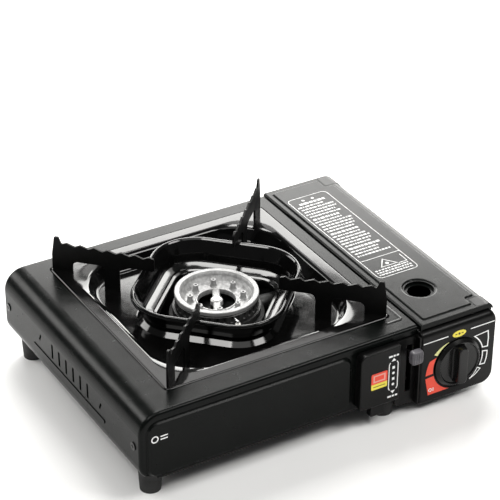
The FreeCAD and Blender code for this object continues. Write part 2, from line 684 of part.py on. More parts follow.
def make_hinge_lug(y0, y1):
    """Fixed lug at a lid corner, level with the lid's rounded edge."""
    right = WIDTH / 2
    outline = [(152.2, 80.5), (152.2, LID_TOP_Z), (right, LID_TOP_Z), (right, BAY_WALL_TOP_Z),
               (164.2, BAY_WALL_TOP_Z), (164.2, 80.5)]
    lug = plate_xz(outline, [0, 0, 9.0, 1.0, 0, 0], y0, y1)
    clear = box(160, 172, LID_FRONT_Y, BAY_FRONT_Y + SHEET, 60, PANEL_TOP_Z + GAP)
    pin = cyl(HINGE_PIN_R, y1 - y0 + 4, V(LID_HINGE_X, y0 - 2, LID_HINGE_Z), Y_AXIS)
    return lug.cut(clear).cut(pin)


def make_hinge_pins():
    return compound([cyl(HINGE_PIN_R, 14, V(LID_HINGE_X, y, LID_HINGE_Z), Y_AXIS)
                     for y in (-119.6, 99.6)])


# ---- control panel and knob ---------------------------------------------------------------
def make_control_panel():
    y1 = BAY_FRONT_Y
    right = PANEL_RIGHT_X
    outline = [(PANEL_LEFT_X, PANEL_TOP_Z), (PANEL_LEFT_X, PANEL_BOTTOM_Z),
               (right - 0.6, PANEL_BOTTOM_Z), (right, PANEL_TOP_Z)]
    outer = plate_xz(outline, [2, 2, 11, 7], PANEL_Y, y1)
    front = [e for e in outer.Edges if e.BoundBox.YMax < PANEL_Y + 0.1]
    outer = outer.makeFillet(1.4, front)
    inner = plate_xz([(PANEL_LEFT_X + 2, PANEL_TOP_Z - 2), (PANEL_LEFT_X + 2, PANEL_BOTTOM_Z + 2),
                      (right - 2.6, PANEL_BOTTOM_Z + 2), (right - 2, PANEL_TOP_Z - 2)], [1, 1, 9, 5],
                     PANEL_Y + 2.2, y1 + 1)
    panel = outer.cut(inner)
    dish = cyl(KNOB_R + 1.4, 3.4, V(KNOB_X, PANEL_Y + 1.2, KNOB_Z), Y_AXIS)
    panel = panel.fuse(dish)
    panel = panel.cut(cyl(KNOB_R + 0.8, 2.4, V(KNOB_X, PANEL_Y - 1, KNOB_Z), Y_AXIS))
    return panel.cut(cyl(SHAFT_R + 1.5, 20, V(KNOB_X, PANEL_Y - 2, KNOB_Z), Y_AXIS)).removeSplitter()


def make_control_knob():
    """Low round knob with a raised grip bar across its face."""
    back = PANEL_Y + 1.1
    face = KNOB_RIM_Y + 1.1
    skirt = revolve_y([(SHAFT_R, back), (KNOB_R, back), (KNOB_R, back - 1.4),
                       (KNOB_RIM_R, KNOB_RIM_Y + 0.4), (KNOB_RIM_R - 0.8, KNOB_RIM_Y),
                       (KNOB_RIM_R - 2.0, face), (SHAFT_R, face)], KNOB_X, KNOB_Z)
    half_width = 5.4
    half_length = 17.8
    outline = [(KNOB_X + i * half_width, KNOB_Z + k * half_length)
               for i, k in ((-1, 1), (-1, -1), (1, -1), (1, 1))]
    grip = plate_xz(outline, [5] * 4, KNOB_FRONT_Y, face)
    front = [e for e in grip.Edges if e.BoundBox.YMax < KNOB_FRONT_Y + 0.1]
    grip = grip.makeFillet(1.2, front)
    return fuse([skirt, grip])


def make_knob_shaft():
    start = KNOB_RIM_Y + 1.1
    return cyl(SHAFT_R, -110 - start, V(KNOB_X, start, KNOB_Z), Y_AXIS)


def make_igniter_cam():
    """Cam on the knob shaft that trips the spark maker at the end of its turn."""
    y0 = -126.0
    disc = cyl(7, 3, V(KNOB_X, y0, KNOB_Z), Y_AXIS)
    nose = cyl(2.2, 3, V(KNOB_X - 8, y0, KNOB_Z + 3), Y_AXIS)
    cam = fuse([disc, nose])
    return cam.cut(cyl(SHAFT_R, 6, V(KNOB_X, y0 - 1, KNOB_Z), Y_AXIS))


# ---- lock lever ---------------------------------------------------------------------------
def make_lock_bezel():
    """Moulded plate beside the lever with the channel that the lever runs in."""
    plate = plate_xz([(72, 76), (33, 76), (33, 22), (72, 22)], [0, 6, 3, 0], PANEL_Y, FRONT_Y + SHEET)
    front = [e for e in plate.Edges if e.BoundBox.YMax < PANEL_Y + 0.1]
    plate = plate.makeFillet(1.0, front)
    floor = plate_xz([(93, 76), (72, 76), (72, 12), (76, 9), (93, 9)], [0, 0, 3, 3, 0],
                     FRONT_Y - 1.4, FRONT_Y + SHEET)
    rib = plate_xz([(93, 76), (91.4, 76), (91.4, 9), (93, 9)], [0] * 4, PANEL_Y + 0.6, FRONT_Y + SHEET)
    foot = box(45, 58, PANEL_Y + 1.5, FRONT_Y, 11, 22)
    foot = foot.makeFillet(1.5, [e for e in foot.Edges if e.BoundBox.ZMax < 11.1])
    bezel = fuse([plate, floor, rib, foot])
    bezel = bezel.cut(box(72, 94, FRONT_Y, FRONT_Y + 2, 0, BOTTOM_Z + SHEET))
    return bezel.cut(box(82.0, 87.4, FRONT_Y - 4, FRONT_Y + 4, 22, 69)).removeSplitter()


def make_lock_lever():
    """Bell crank: a long arm to the handle and a short arm to the pull bar."""
    x0 = LEVER_X
    x1 = LEVER_X + 1.6
    pivot = (LEVER_PIVOT_Y, LEVER_PIVOT_Z)
    end_y = -139.0
    arm = plate_yz([(end_y, 58.5), (end_y, 66.5), (pivot[0] + 2, pivot[1] + 6),
                    (pivot[0] - 2, pivot[1] - 6)], [1, 1, 0, 0], x0, x1)
    boss = cyl(7, 1.6, V(x0, pivot[0], pivot[1]), X_AXIS)
    pin_y, pin_z = drive_pin_place()
    crank = plate_yz([(pivot[0] - 5, pivot[1]), (pin_y - 4.4, pin_z + 1), (pin_y + 4.4, pin_z + 1),
                      (pivot[0] + 5, pivot[1])], [0, 2, 2, 0], x0, x1)
    tip = cyl(4.4, 1.6, V(x0, pin_y, pin_z), X_AXIS)
    lever = fuse([arm, boss, crank, tip])
    lever = lever.cut(cyl(2.55, 6, V(x0 - 2, pivot[0], pivot[1]), X_AXIS))
    return lever.cut(cyl(2.0, 6, V(x0 - 2, pin_y, pin_z), X_AXIS))


def drive_pin_place():
    tilt = math.radians(LEVER_PIN_TILT)
    return (LEVER_PIVOT_Y + LEVER_PIN_ARM * math.sin(tilt),
            LEVER_PIVOT_Z + LEVER_PIN_ARM * math.cos(tilt))


def make_lever_handle():
    grip = plate_xz([(90.6, 69), (79.2, 69), (79.2, 56.2), (90.6, 56.2)], [2.2] * 4, -142.5, -136.5)
    front = [e for e in grip.Edges if e.BoundBox.YMax < -142.4]
    grip = grip.makeFillet(1.4, front)
    return grip.cut(make_lock_lever())


def make_lever_pin():
    pin_y, pin_z = drive_pin_place()
    return cyl(2.0, 8.2, V(LEVER_X - 0.8, pin_y, pin_z), X_AXIS)


def make_lever_pivot_pin():
    return fuse([cyl(2.5, 12.6, V(LEVER_X - 4.4, LEVER_PIVOT_Y, LEVER_PIVOT_Z), X_AXIS),
                 cyl(4.2, 1.6, V(LEVER_X - 6.0, LEVER_PIVOT_Y, LEVER_PIVOT_Z), X_AXIS)])


def make_lever_bracket():
    x1 = LEVER_X - 2.4
    plate = plate_yz([(-106, 20.8), (-106, 54), (-87, 54), (-87, 20.8)], [0, 4, 4, 0], x1 - 2, x1)
    foot = box(x1 - 14, x1 - 2, -106, -87, BOTTOM_Z + SHEET, BOTTOM_Z + SHEET + 1.6)
    plate = fuse([plate, foot])
    return plate.cut(cyl(2.5, 10, V(x1 - 5, LEVER_PIVOT_Y, LEVER_PIVOT_Z), X_AXIS))


def make_lever_spring():
    """One turn of the wire spring around the lever's pivot."""
    return Part.makeTorus(4.0, 0.55, V(LEVER_X - 1.2, LEVER_PIVOT_Y, LEVER_PIVOT_Z), X_AXIS)


def make_pull_bar():
    """Flat bar that the lever draws forward to seat the cartridge."""
    x0 = PULL_BAR_X
    x1 = PULL_BAR_X + 1.6
    bar = box(x0, x1, -98, 104, 56, 67.6)
    pin_y, pin_z = drive_pin_place()
    slot = plate_yz([(pin_y - 2.3, pin_z - 4), (pin_y - 2.3, pin_z + 5), (pin_y + 2.3, pin_z + 5),
                     (pin_y + 2.3, pin_z - 4)], [2.2] * 4, x0 - 1, x1 + 1)
    return bar.cut(slot)


def make_pusher_plate():
    """Upright plate behind the cartridge, fixed to the pull bar."""
    plate = plate_xz([(PULL_BAR_X + 1.6, 67.6), (PULL_BAR_X + 1.6, 56), (96, 56), (112, 30), (150, 30),
                      (150, 62), (140, 67.6)], [0, 0, 2, 5, 5, 5, 3], 102, 103.6)
    rib = box(PULL_BAR_X + 1.6, 140, 103.6, 105.2, 60, 62)
    return fuse([plate, rib])


# ---- lift-off pan support -----------------------------------------------------------------
def make_drip_tray():
    thick = TRAY_THICK
    outer = square_loft([(RECESS_HALF + 2, RECESS_RADIUS + 2, TOP_Z), (RECESS_HALF, RECESS_RADIUS, 81.5),
                         (RECESS_HALF - 3.5, RECESS_RADIUS - 3, 74.5),
                         (RECESS_HALF - 7, RECESS_RADIUS - 6, RECESS_FLOOR_Z)])
    under = square_loft([(RECESS_HALF + 2 + thick, RECESS_RADIUS + 2, TOP_Z - thick),
                         (RECESS_HALF + thick, RECESS_RADIUS, 81.5 - thick),
                         (RECESS_HALF - 3.5 + thick, RECESS_RADIUS - 3, 74.5 - thick),
                         (RECESS_HALF - 7 + thick, RECESS_RADIUS - 6, RECESS_FLOOR_Z - thick)])
    flange = square_prism(TRAY_HALF, 4, TOP_Z - 2.6, TOP_Z)
    flange = flange.cut(square_prism(TRAY_HALF - thick, 3.2, TOP_Z - 3.6, TOP_Z - thick))
    flange = flange.cut(square_prism(RECESS_HALF + 2.4, RECESS_RADIUS + 2, TOP_Z - 4, TOP_Z + 1))
    tray = flange.fuse(under.cut(outer))
    step = square_loft([(COLLAR_BASE_HALF, 30, RECESS_FLOOR_Z), (COLLAR_BASE_HALF, 30, 75.0)], 45)
    step = step.cut(square_prism(COLLAR_BASE_HALF - thick, 29.2, RECESS_FLOOR_Z - 1, 75 - thick, 45))
    tray = tray.cut(square_prism(COLLAR_BASE_HALF, 30, 60, RECESS_FLOOR_Z + 0.1, 45))
    rim = square_prism(COLLAR_BASE_HALF, 30, RECESS_FLOOR_Z - thick, RECESS_FLOOR_Z, 45)
    rim = rim.cut(square_prism(COLLAR_BASE_HALF - thick, 29.2, 60, 80, 45))
    tray = fuse([tray, step, rim])
    tray = tray.cut(square_prism(WELL_HALF, WELL_RADIUS, 60, 90, 45))
    lip = square_prism(WELL_HALF + thick, WELL_RADIUS + thick, 70.5, 75 - thick, 45)
    lip = lip.cut(square_prism(WELL_HALF, WELL_RADIUS, 60, 90, 45))
    return fuse([tray, lip])


def make_wind_collar():
    thick = 0.9
    stations = [(COLLAR_BASE_HALF + 0.1, 30, 75.0), (COLLAR_BASE_HALF + 1.2, 31, 80.0),
                (COLLAR_HALF - 3.0, COLLAR_RADIUS - 1.5, 91.0), (COLLAR_HALF - 1.0, COLLAR_RADIUS, 94.5)]
    outside = square_loft([(h + thick, r + thick, z) for h, r, z in stations], 45)
    inside = square_loft(stations, 45)
    wall = outside.cut(inside)
    lip = square_prism(COLLAR_HALF + 1.2, COLLAR_RADIUS + 1.2, 94.5, COLLAR_TOP_Z, 45)
    lip = lip.cut(square_prism(COLLAR_HALF - 1.0, COLLAR_RADIUS, 94, COLLAR_TOP_Z + 1, 45))
    flange = square_prism(COLLAR_BASE_HALF + 1.0, 30.9, 75.0, 75.8, 45)
    flange = flange.cut(square_prism(COLLAR_BASE_HALF - 5, 26, 74, 77, 45))
    return fuse([wall, lip, flange])


def fin_outline():
    """Radius and height pairs of a pan support seen edge on, from the outer foot inwards."""
    points = [(FIN_OUTER_R, TOP_Z), (FIN_OUTER_R, 100.0), (145.0, 117.6), (141.0, 117.6),
              (138.6, 110.6)]
    radii = [0, 12, 1.2, 1.2, 1.5]
    top = 112.6
    for i in range(7):
        crest = 134.0 - i * FIN_TOOTH_PITCH
        height = top - i * 0.5
        valley = crest - FIN_TOOTH_PITCH * 0.62
        points.append((crest, height))
        radii.append(1.2)
        if i < 6:
            points.append((valley, height - FIN_TOOTH_DEPTH))
            radii.append(1.2)
    points += [(55.0, 108.2), (55.0, COLLAR_TOP_Z + GAP)]
    radii += [2.5, 1.5]
    return points, radii


def make_pan_support(angle):
    top_points, top_radii = fin_outline()
    bar_z = COLLAR_TOP_Z + GAP
    floor = RECESS_FLOOR_Z
    under = [(86.5, bar_z), (86.5, floor), (100.5, floor), (100.5, 95.0), (129.0, 95.0),
             (129.0, TOP_Z)]
    under_radii = [5, 0, 0, 5, 5, 0]
    points = [V(r, -FIN_THICK / 2, z) for r, z in top_points + under]
    fin = prism(points, top_radii + under_radii, V(0, FIN_THICK, 0))
    fin.rotate(V(0, 0, 0), Z_AXIS, angle)
    fin.translate(V(BURNER_X, BURNER_Y, 0))
    return fin


def make_support_rivets():
    """Tabs of the supports pressed over under the tray, and the rivets beside them."""
    shapes = []
    for angle in (45, 135, 225, 315):
        for radius, side in ((93.5, 6.5), (93.5, -6.5)):
            turn = math.radians(angle)
            x = BURNER_X + radius * math.cos(turn) - side * math.sin(turn)
            y = BURNER_Y + radius * math.sin(turn) + side * math.cos(turn)
            shapes.append(cyl(2.2, 0.9, V(x, y, RECESS_FLOOR_Z)))
    return compound(shapes)


# ---- write every piece --------------------------------------------------------------------
def main():
    os.makedirs("parts", exist_ok=True)
    save("body_shell", make_body_shell())
    save("front_panel", make_front_panel())
    save("rear_panel", make_rear_panel())
    save("base_plate", make_base_plate())
    save("cartridge_tub", make_cartridge_tub())
    save("partition_plate", make_partition_plate())
    save("burner_well", make_burner_well())
    for name, place in FEET.items():
        save(name, make_foot(place))
    save("foot_screws", make_foot_screws())
    save("body_screws", make_body_screws())
    save("burner_head", make_burner_head())
    save("burner_base", make_burner_base())
    save("burner_screw", make_burner_screw())
    save("mixer_tube", make_mixer_tube())
    save("air_shutter", make_air_shutter())
    save("gas_jet", make_gas_jet())
    save("gas_pipe", make_gas_pipe())
    save("pipe_nuts", make_pipe_nuts())
    save("spark_electrode", make_spark_electrode())
    save("electrode_pin", make_electrode_pin())
    save("electrode_bracket", make_electrode_bracket())
    save("heat_strip", make_heat_strip())
    save("cradle_front", make_cradle(-50))
    save("cradle_rear", make_cradle(55))
    save("regulator_body", make_regulator_body())
    save("regulator_cap", make_regulator_cap())
    save("socket_seal", make_socket_seal())
    save("notch_guide", make_notch_guide())
    save("piezo_igniter", make_piezo_igniter())
    save("ignition_lead", make_ignition_lead())
    save("cartridge_lid", make_cartridge_lid())
    save("hinge_lug_front", make_hinge_lug(-128.8, -116.3))
    save("hinge_lug_rear", make_hinge_lug(110.3, 125.8))
    save("hinge_pins", make_hinge_pins())
    save("control_panel", make_control_panel())
    save("control_knob", make_control_knob())
    save("knob_shaft", make_knob_shaft())
    save("igniter_cam", make_igniter_cam())
    save("lock_bezel", make_lock_bezel())
    save("lock_lever", make_lock_lever())
    save("lever_handle", make_lever_handle())
    save("lever_pin", make_lever_pin())
    save("lever_pivot_pin", make_lever_pivot_pin())
    save("lever_bracket", make_lever_bracket())
    save("lever_spring", make_lever_spring())
    save("pull_bar", make_pull_bar())
    save("pusher_plate", make_pusher_plate())
    save("drip_tray", make_drip_tray())
    save("wind_collar", make_wind_collar())
    corners = {"pan_support_rear_right": 45, "pan_support_rear_left": 135,
               "pan_support_front_left": 225, "pan_support_front_right": 315}
    for name, angle in corners.items():
        save(name, make_pan_support(angle))
    save("support_rivets", make_support_rivets())


main()
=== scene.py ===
import json
import math
import random

import bpy
from mathutils import Matrix, Vector


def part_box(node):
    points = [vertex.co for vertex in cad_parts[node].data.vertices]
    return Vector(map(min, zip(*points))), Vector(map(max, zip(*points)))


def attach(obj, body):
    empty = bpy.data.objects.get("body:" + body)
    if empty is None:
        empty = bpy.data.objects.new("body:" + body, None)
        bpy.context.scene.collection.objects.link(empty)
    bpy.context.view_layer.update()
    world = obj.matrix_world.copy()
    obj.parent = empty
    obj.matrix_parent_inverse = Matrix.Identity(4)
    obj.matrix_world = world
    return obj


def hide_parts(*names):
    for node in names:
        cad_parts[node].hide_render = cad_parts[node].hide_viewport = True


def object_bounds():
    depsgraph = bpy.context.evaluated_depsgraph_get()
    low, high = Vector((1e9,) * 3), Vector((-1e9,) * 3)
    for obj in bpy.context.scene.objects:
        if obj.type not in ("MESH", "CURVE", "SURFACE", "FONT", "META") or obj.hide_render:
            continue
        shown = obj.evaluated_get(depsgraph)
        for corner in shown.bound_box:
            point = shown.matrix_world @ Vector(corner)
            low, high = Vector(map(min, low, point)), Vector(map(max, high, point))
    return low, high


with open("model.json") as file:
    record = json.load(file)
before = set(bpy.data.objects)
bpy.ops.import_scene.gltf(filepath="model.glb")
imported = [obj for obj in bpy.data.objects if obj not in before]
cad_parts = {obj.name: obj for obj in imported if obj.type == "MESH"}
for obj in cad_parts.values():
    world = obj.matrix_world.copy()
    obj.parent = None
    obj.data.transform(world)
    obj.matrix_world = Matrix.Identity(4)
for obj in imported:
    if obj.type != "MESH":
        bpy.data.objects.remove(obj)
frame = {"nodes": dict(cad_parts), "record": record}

cad_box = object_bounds()
MM = 0.001

# ---- places read from the frame -----------------------------------------------------------
tray_low, tray_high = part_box("drip_tray")
collar_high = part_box("wind_collar")[1]
head_low, head_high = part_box("burner_head")
lid_low, lid_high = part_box("cartridge_lid")
panel_low, panel_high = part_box("control_panel")
knob_low, knob_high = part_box("control_knob")
front_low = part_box("front_panel")[0]
bezel_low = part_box("lock_bezel")[0]
shell_low, shell_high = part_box("body_shell")
BURNER = (head_low + head_high) / 2
KNOB = (knob_low + knob_high) / 2
TABLE_Z = cad_box[0][2]


# ---- node helpers -------------------------------------------------------------------------
NOISE_LOW, NOISE_HIGH = 0.3, 0.7    # the part of the noise's range that carries the change


class Shader:
    """A material's node tree with short calls for the nodes used here."""

    def __init__(self, name):
        self.material = bpy.data.materials.new(name)
        self.material.use_nodes = True
        self.tree = self.material.node_tree
        self.tree.nodes.clear()
        self.out = self.node("ShaderNodeOutputMaterial")
        self.bsdf = self.node("ShaderNodeBsdfPrincipled")
        self.link(self.bsdf.outputs["BSDF"], self.out.inputs["Surface"])
        self.coords = self.node("ShaderNodeTexCoord").outputs["Object"]

    def node(self, kind):
        return self.tree.nodes.new(kind)

    def link(self, source, target):
        self.tree.links.new(source, target)

    def set(self, **values):
        for key, value in values.items():
            self.bsdf.inputs[key.replace("_", " ")].default_value = value

    def noise(self, scale, detail=2.0, rough=0.5):
        node = self.node("ShaderNodeTexNoise")
        node.inputs["Scale"].default_value = scale
        node.inputs["Detail"].default_value = detail
        node.inputs["Roughness"].default_value = rough
        self.link(self.coords, node.inputs["Vector"])
        return node.outputs["Fac"]

    def span(self, value, low, high):
        node = self.node("ShaderNodeMapRange")
        self.link(value, node.inputs["Value"])
        node.inputs["From Min"].default_value = NOISE_LOW
        node.inputs["From Max"].default_value = NOISE_HIGH
        node.inputs["To Min"].default_value = low
        node.inputs["To Max"].default_value = high
        return node.outputs["Result"]

    def blend(self, value, low_color, high_color):
        node = self.node("ShaderNodeValToRGB")
        node.color_ramp.elements[0].position = NOISE_LOW
        node.color_ramp.elements[0].color = (*low_color, 1)
        node.color_ramp.elements[1].position = NOISE_HIGH
        node.color_ramp.elements[1].color = (*high_color, 1)
        self.link(value, node.inputs["Fac"])
        return node.outputs["Color"]

    def bump(self, height, strength, distance, onto=None):
        node = self.node("ShaderNodeBump")
        node.inputs["Strength"].default_value = strength
        node.inputs["Distance"].default_value = distance
        self.link(height, node.inputs["Height"])
        if onto is not None:
            self.link(onto, node.inputs["Normal"])
        self.link(node.outputs["Normal"], self.bsdf.inputs["Normal"])
        return node.outputs["Normal"]


def mottled(name, dark, light, rough, grain_scale, grain, wander=40.0, metallic=0.0,
            wave=None, **extra):
    """Surface with slow colour drift, uneven gloss, a fine grain and, if asked, a slow wave."""
    shader = Shader(name)
    slow = shader.noise(wander, 3.0)
    shader.link(shader.blend(slow, dark, light), shader.bsdf.inputs["Base Color"])
    smudge = shader.noise(wander * 2.3, 4.0, 0.6)
    shader.link(shader.span(smudge, rough[0], rough[1]), shader.bsdf.inputs["Roughness"])
    under = None
    if wave is not None:
        under = shader.bump(shader.noise(wave[0], 1.0), wave[1], wave[2])
    shader.bump(shader.noise(grain_scale, 2.0), grain[0], grain[1], under)
    shader.set(Metallic=metallic, **extra)
    return shader.material


def grey(low, high):
    return (low, low, low), (high, high, high)


def make_materials():
    """One material for each slot of the record, and the finishes that only show outside."""
    mats = {}
    mats["painted_black"] = mottled(
        "satin_black_paint", (0.0018, 0.0024, 0.0022), (0.0030, 0.0038, 0.0034), (0.22, 0.28),
        1500, (0.08, 0.0002), wave=(40, 0.06, 0.0006), Specular_IOR_Level=0.11)
    mats["inner_steel"] = mottled("dull_black_steel", *grey(0.004, 0.010), (0.4, 0.58), 900,
                                  (0.12, 0.0003), Specular_IOR_Level=0.25)
    mats["enamel_black"] = mottled("gloss_black_enamel", *grey(0.0018, 0.0035), (0.07, 0.12), 420,
                                   (0.03, 0.0003), wave=(26, 0.16, 0.0010), IOR=1.41)
    mats["matte_support"] = mottled("matte_black_support", *grey(0.0015, 0.0035), (0.40, 0.55),
                                    1400, (0.25, 0.0003), Specular_IOR_Level=0.14)
    mats["zinc_steel"] = mottled("zinc_plated_steel", *grey(0.45, 0.65), (0.22, 0.38), 1500,
                                 (0.08, 0.0002), metallic=1.0)
    mats["black_plastic"] = mottled("textured_black_plastic", *grey(0.0026, 0.0044), (0.28, 0.38),
                                    2600, (0.20, 0.0002), Specular_IOR_Level=0.15)
    mats["knob_plastic"] = mottled("gloss_black_plastic", *grey(0.0026, 0.0042), (0.18, 0.26), 900,
                                   (0.03, 0.0002), Specular_IOR_Level=0.28)
    mats["grey_plastic"] = mottled("grey_plastic", (0.17, 0.17, 0.178), (0.23, 0.23, 0.238),
                                   (0.34, 0.46), 2200, (0.15, 0.0002))
    mats["lever_grey"] = mottled("worn_grey_plastic", (0.055, 0.053, 0.060), (0.11, 0.105, 0.118),
                                 (0.30, 0.42), 1800, (0.15, 0.0002), wander=180)
    mats["foot_rubber"] = mottled("black_rubber", *grey(0.009, 0.02), (0.62, 0.8), 1600,
                                  (0.3, 0.0003))
    mats["seal_rubber"] = mats["foot_rubber"]
    mats["cast_aluminium"] = mottled("cast_aluminium", *grey(0.22, 0.34), (0.40, 0.55), 700,
                                     (0.35, 0.0005), metallic=0.4)
    mats["brass"] = mottled("brass", (0.52, 0.36, 0.12), (0.68, 0.50, 0.20), (0.22, 0.36), 1200,
                            (0.08, 0.0002), metallic=1.0)
    mats["ceramic"] = mottled("glazed_ceramic", (0.72, 0.71, 0.68), (0.82, 0.81, 0.78), (0.12, 0.2),
                              800, (0.05, 0.0002))
    mats["electrode_steel"] = mats["zinc_steel"]
    mats["piezo_plastic"] = mottled("red_brown_plastic", (0.14, 0.02, 0.015), (0.19, 0.03, 0.02),
                                    (0.3, 0.42), 1500, (0.1, 0.0002))
    mats["crown_bowl"] = mottled("grainy_cast_bowl", *grey(0.26, 0.50), (0.40, 0.58), 900,
                                 (0.55, 0.0006), wander=300, metallic=0.5)
    mats["crown_rim"] = mottled("machined_rim", *grey(0.25, 0.33), (0.38, 0.48), 1600,
                                (0.14, 0.0003), wander=160, metallic=0.2)
    # Near-black copy of the cast metal: painted shade for the burner's ported wall, stepped base,
    # mixer tube and port plugs, which sit in shadow under the rim and down in the well.
    mats["shaded_cast_metal"] = mottled("shaded_dark_cast_metal", *grey(0.03, 0.08), (0.38, 0.6), 800,
                                  (0.4, 0.0005), wander=120, metallic=0.6)
    ink = {"Specular_IOR_Level": 0.3}
    mats["white_ink"] = mottled("white_print", *grey(0.90, 0.96), (0.4, 0.5), 1800,
                                (0.1, 0.0002), wander=200, **ink)
    mats["label_ink"] = mottled("pale_grey_print", *grey(0.40, 0.56), (0.4, 0.5), 1800,
                                (0.1, 0.0002), wander=300, **ink)
    mats["red_ink"] = mottled("red_print", (0.84, 0.075, 0.040), (0.90, 0.10, 0.06), (0.4, 0.5),
                              1800, (0.1, 0.0002), **ink)
    mats["yellow_ink"] = mottled("yellow_print", (0.84, 0.70, 0.07), (0.90, 0.78, 0.10), (0.4, 0.5),
                                 1800, (0.1, 0.0002), **ink)
    mats["pale_ink"] = mottled("pale_yellow_print", (0.70, 0.70, 0.30), (0.78, 0.78, 0.36),
                               (0.4, 0.5), 1800, (0.1, 0.0002), **ink)
    mats["pink_ink"] = mottled("pink_print", (0.80, 0.36, 0.30), (0.85, 0.42, 0.36), (0.4, 0.5),
                               1800, (0.1, 0.0002), **ink)
    mats["dark_ink"] = mottled("dark_print", (0.10, 0.07, 0.01), (0.14, 0.10, 0.015), (0.4, 0.5),
                               1800, (0.1, 0.0002), **ink)
    return mats


MATERIALS = make_materials()


# ---- mesh helpers -------------------------------------------------------------------------
LEVEL = 0.99998                     # a face this close to an axis is shaded flat
SHARP_ANGLE = math.radians(38)      # a steeper edge than this stays crisp


class Builder:
    """Collects the vertices and faces of one mesh."""

    def __init__(self):
        self.verts = []
        self.faces = []

    def loop(self, points):
        start = len(self.verts)
        self.verts += [Vector(point) for point in points]
        return list(range(start, len(self.verts)))

    def bridge(self, first, second, closed=True):
        """Quads between two index loops of equal length."""
        count = len(first)
        for i in range(count if closed else count - 1):
            j = (i + 1) % count
            self.faces.append((first[i], first[j], second[j], second[i]))

    def skin(self, loops):
        rings = [self.loop(points) for points in loops]
        for first, second in zip(rings, rings[1:]):
            self.bridge(first, second)
        return rings

    def cap(self, ring):
        self.faces.append(tuple(ring))

    def flip(self):
        self.faces = [tuple(reversed(face)) for face in self.faces]

    def piece(self, name, slot, body, finish=None):
        mesh = bpy.data.meshes.new(name)
        mesh.from_pydata([tuple(v) for v in self.verts], [], self.faces)
        mesh.validate()
        mesh.update()
        for polygon in mesh.polygons:
            polygon.use_smooth = max(abs(value) for value in polygon.normal) < LEVEL
        mesh.set_sharp_from_angle(angle=SHARP_ANGLE)
        piece = bpy.data.objects.new(name, mesh)
        bpy.context.scene.collection.objects.link(piece)
        piece.data.materials.append(MATERIALS[finish or slot])
        even = piece.modifiers.new("even_shading", "WEIGHTED_NORMAL")
        even.keep_sharp = True
        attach(piece, body)
        return piece


def solidify(piece, thickness, offset=-1.0):
    modifier = piece.modifiers.new("thickness", "SOLIDIFY")
    modifier.thickness = thickness
    modifier.offset = offset
    piece.modifiers.move(len(piece.modifiers) - 1, 0)


def round_corners(corners, radii, steps=6, closed=True):
    """Flat path with its corners turned into arcs of the given radii."""
    path = []
    count = len(corners)
    for i, corner in enumerate(corners):
        point = Vector(corner)
        if radii[i] <= 0 or (not closed and i in (0, count - 1)):
            path.append(point)
            continue
        back = (Vector(corners[i - 1]) - point).normalized()
        ahead = (Vector(corners[(i + 1) % count]) - point).normalized()
        half = back.angle(ahead) / 2
        reach = radii[i] / math.tan(half)
        centre = point + (back + ahead).normalized() * (radii[i] / math.sin(half))
        start = point + back * reach - centre
        end = point + ahead * reach - centre
        turn = math.atan2(start.x * end.y - start.y * end.x, start.dot(end))
        for k in range(steps + 1):
            angle = turn * k / steps
            path.append(centre + Vector((start.x * math.cos(angle) - start.y * math.sin(angle),
                                         start.x * math.sin(angle) + start.y * math.cos(angle))))
    return path


def split_long(path, step):
    """The same closed path with its long straight stretches cut into short ones."""
    result = []
    for i, point in enumerate(path):
        nxt = path[(i + 1) % len(path)]
        parts = max(1, math.ceil((nxt - point).length / step))
        result += [point.lerp(nxt, k / parts) for k in range(parts)]
    return result


def ring_towards(path, centre, radius):
    """Circle with one point on the ray to each point of a path."""
    return [Vector(centre) + (point - Vector(centre)).normalized() * radius for point in path]


def arc(centre, radius, start, end, steps=12, end_radius=None):
    """Flat arc between two angles in degrees, the radius changing if an end radius is given."""
    last = radius if end_radius is None else end_radius
    points = []
    for i in range(steps + 1):
        share = i / steps
        angle = math.radians(start + (end - start) * share)
        reach = radius + (last - radius) * share
        points.append(Vector((centre[0] + reach * math.cos(angle),
                              centre[1] + reach * math.sin(angle))))
    return points


CORNER_STEPS = 20


def square_loop(half, radius, z, turn=0.0):
    """Points of a rounded square about the burner, the same count for every size."""
    points = []
    inner = half - radius
    for corner in range(4):
        base = math.radians(90 * corner + turn)
        for i in range(CORNER_STEPS + 1):
            angle = math.radians(90 * i / CORNER_STEPS)
            x = inner + radius * math.cos(angle)
            y = inner + radius * math.sin(angle)
            points.append(Vector((BURNER.x + x * math.cos(base) - y * math.sin(base),
                                  BURNER.y + x * math.sin(base) + y * math.cos(base), z)))
    return points


def upright_circle(centre, radius, z, steps):
    return [Vector((centre.x + radius * math.cos(math.tau * i / steps),
                    centre.y + radius * math.sin(math.tau * i / steps), z)) for i in range(steps)]


def front_circle(centre, radius, y, steps):
    """Circle in a plane that faces the cook, anticlockwise as the cook sees it."""
    return [Vector((centre.x + radius * math.cos(math.tau * i / steps), y,
                    centre.z + radius * math.sin(math.tau * i / steps))) for i in range(steps)]


# ---- drip tray and wind collar ------------------------------------------------------------
TRAY_HALF = (tray_high.x - tray_low.x) / 2
RECESS_INSET = 12.5 * MM
TRAY_CORNER = 4 * MM
RECESS_RADIUS = 46 * MM
ENAMEL_SHEET = 0.7 * MM
FLOOR_Z = tray_high.z - 13 * MM
COLLAR_BASE = 57 * MM
COLLAR_RADIUS = 31 * MM


def tray_loop(offset, z):
    """Loop at an offset inside the tray's outer edge, the corner radius growing inwards."""
    share = min(1.0, max(0.0, (offset - TRAY_CORNER) / (RECESS_INSET - TRAY_CORNER)))
    radius = TRAY_CORNER + share * (RECESS_RADIUS - TRAY_CORNER)
    radius -= max(0.0, offset - RECESS_INSET)
    return square_loop(TRAY_HALF - offset, radius, z)


def collar_loop(half, z):
    return square_loop(half, COLLAR_RADIUS + (half - COLLAR_BASE), z, turn=45)


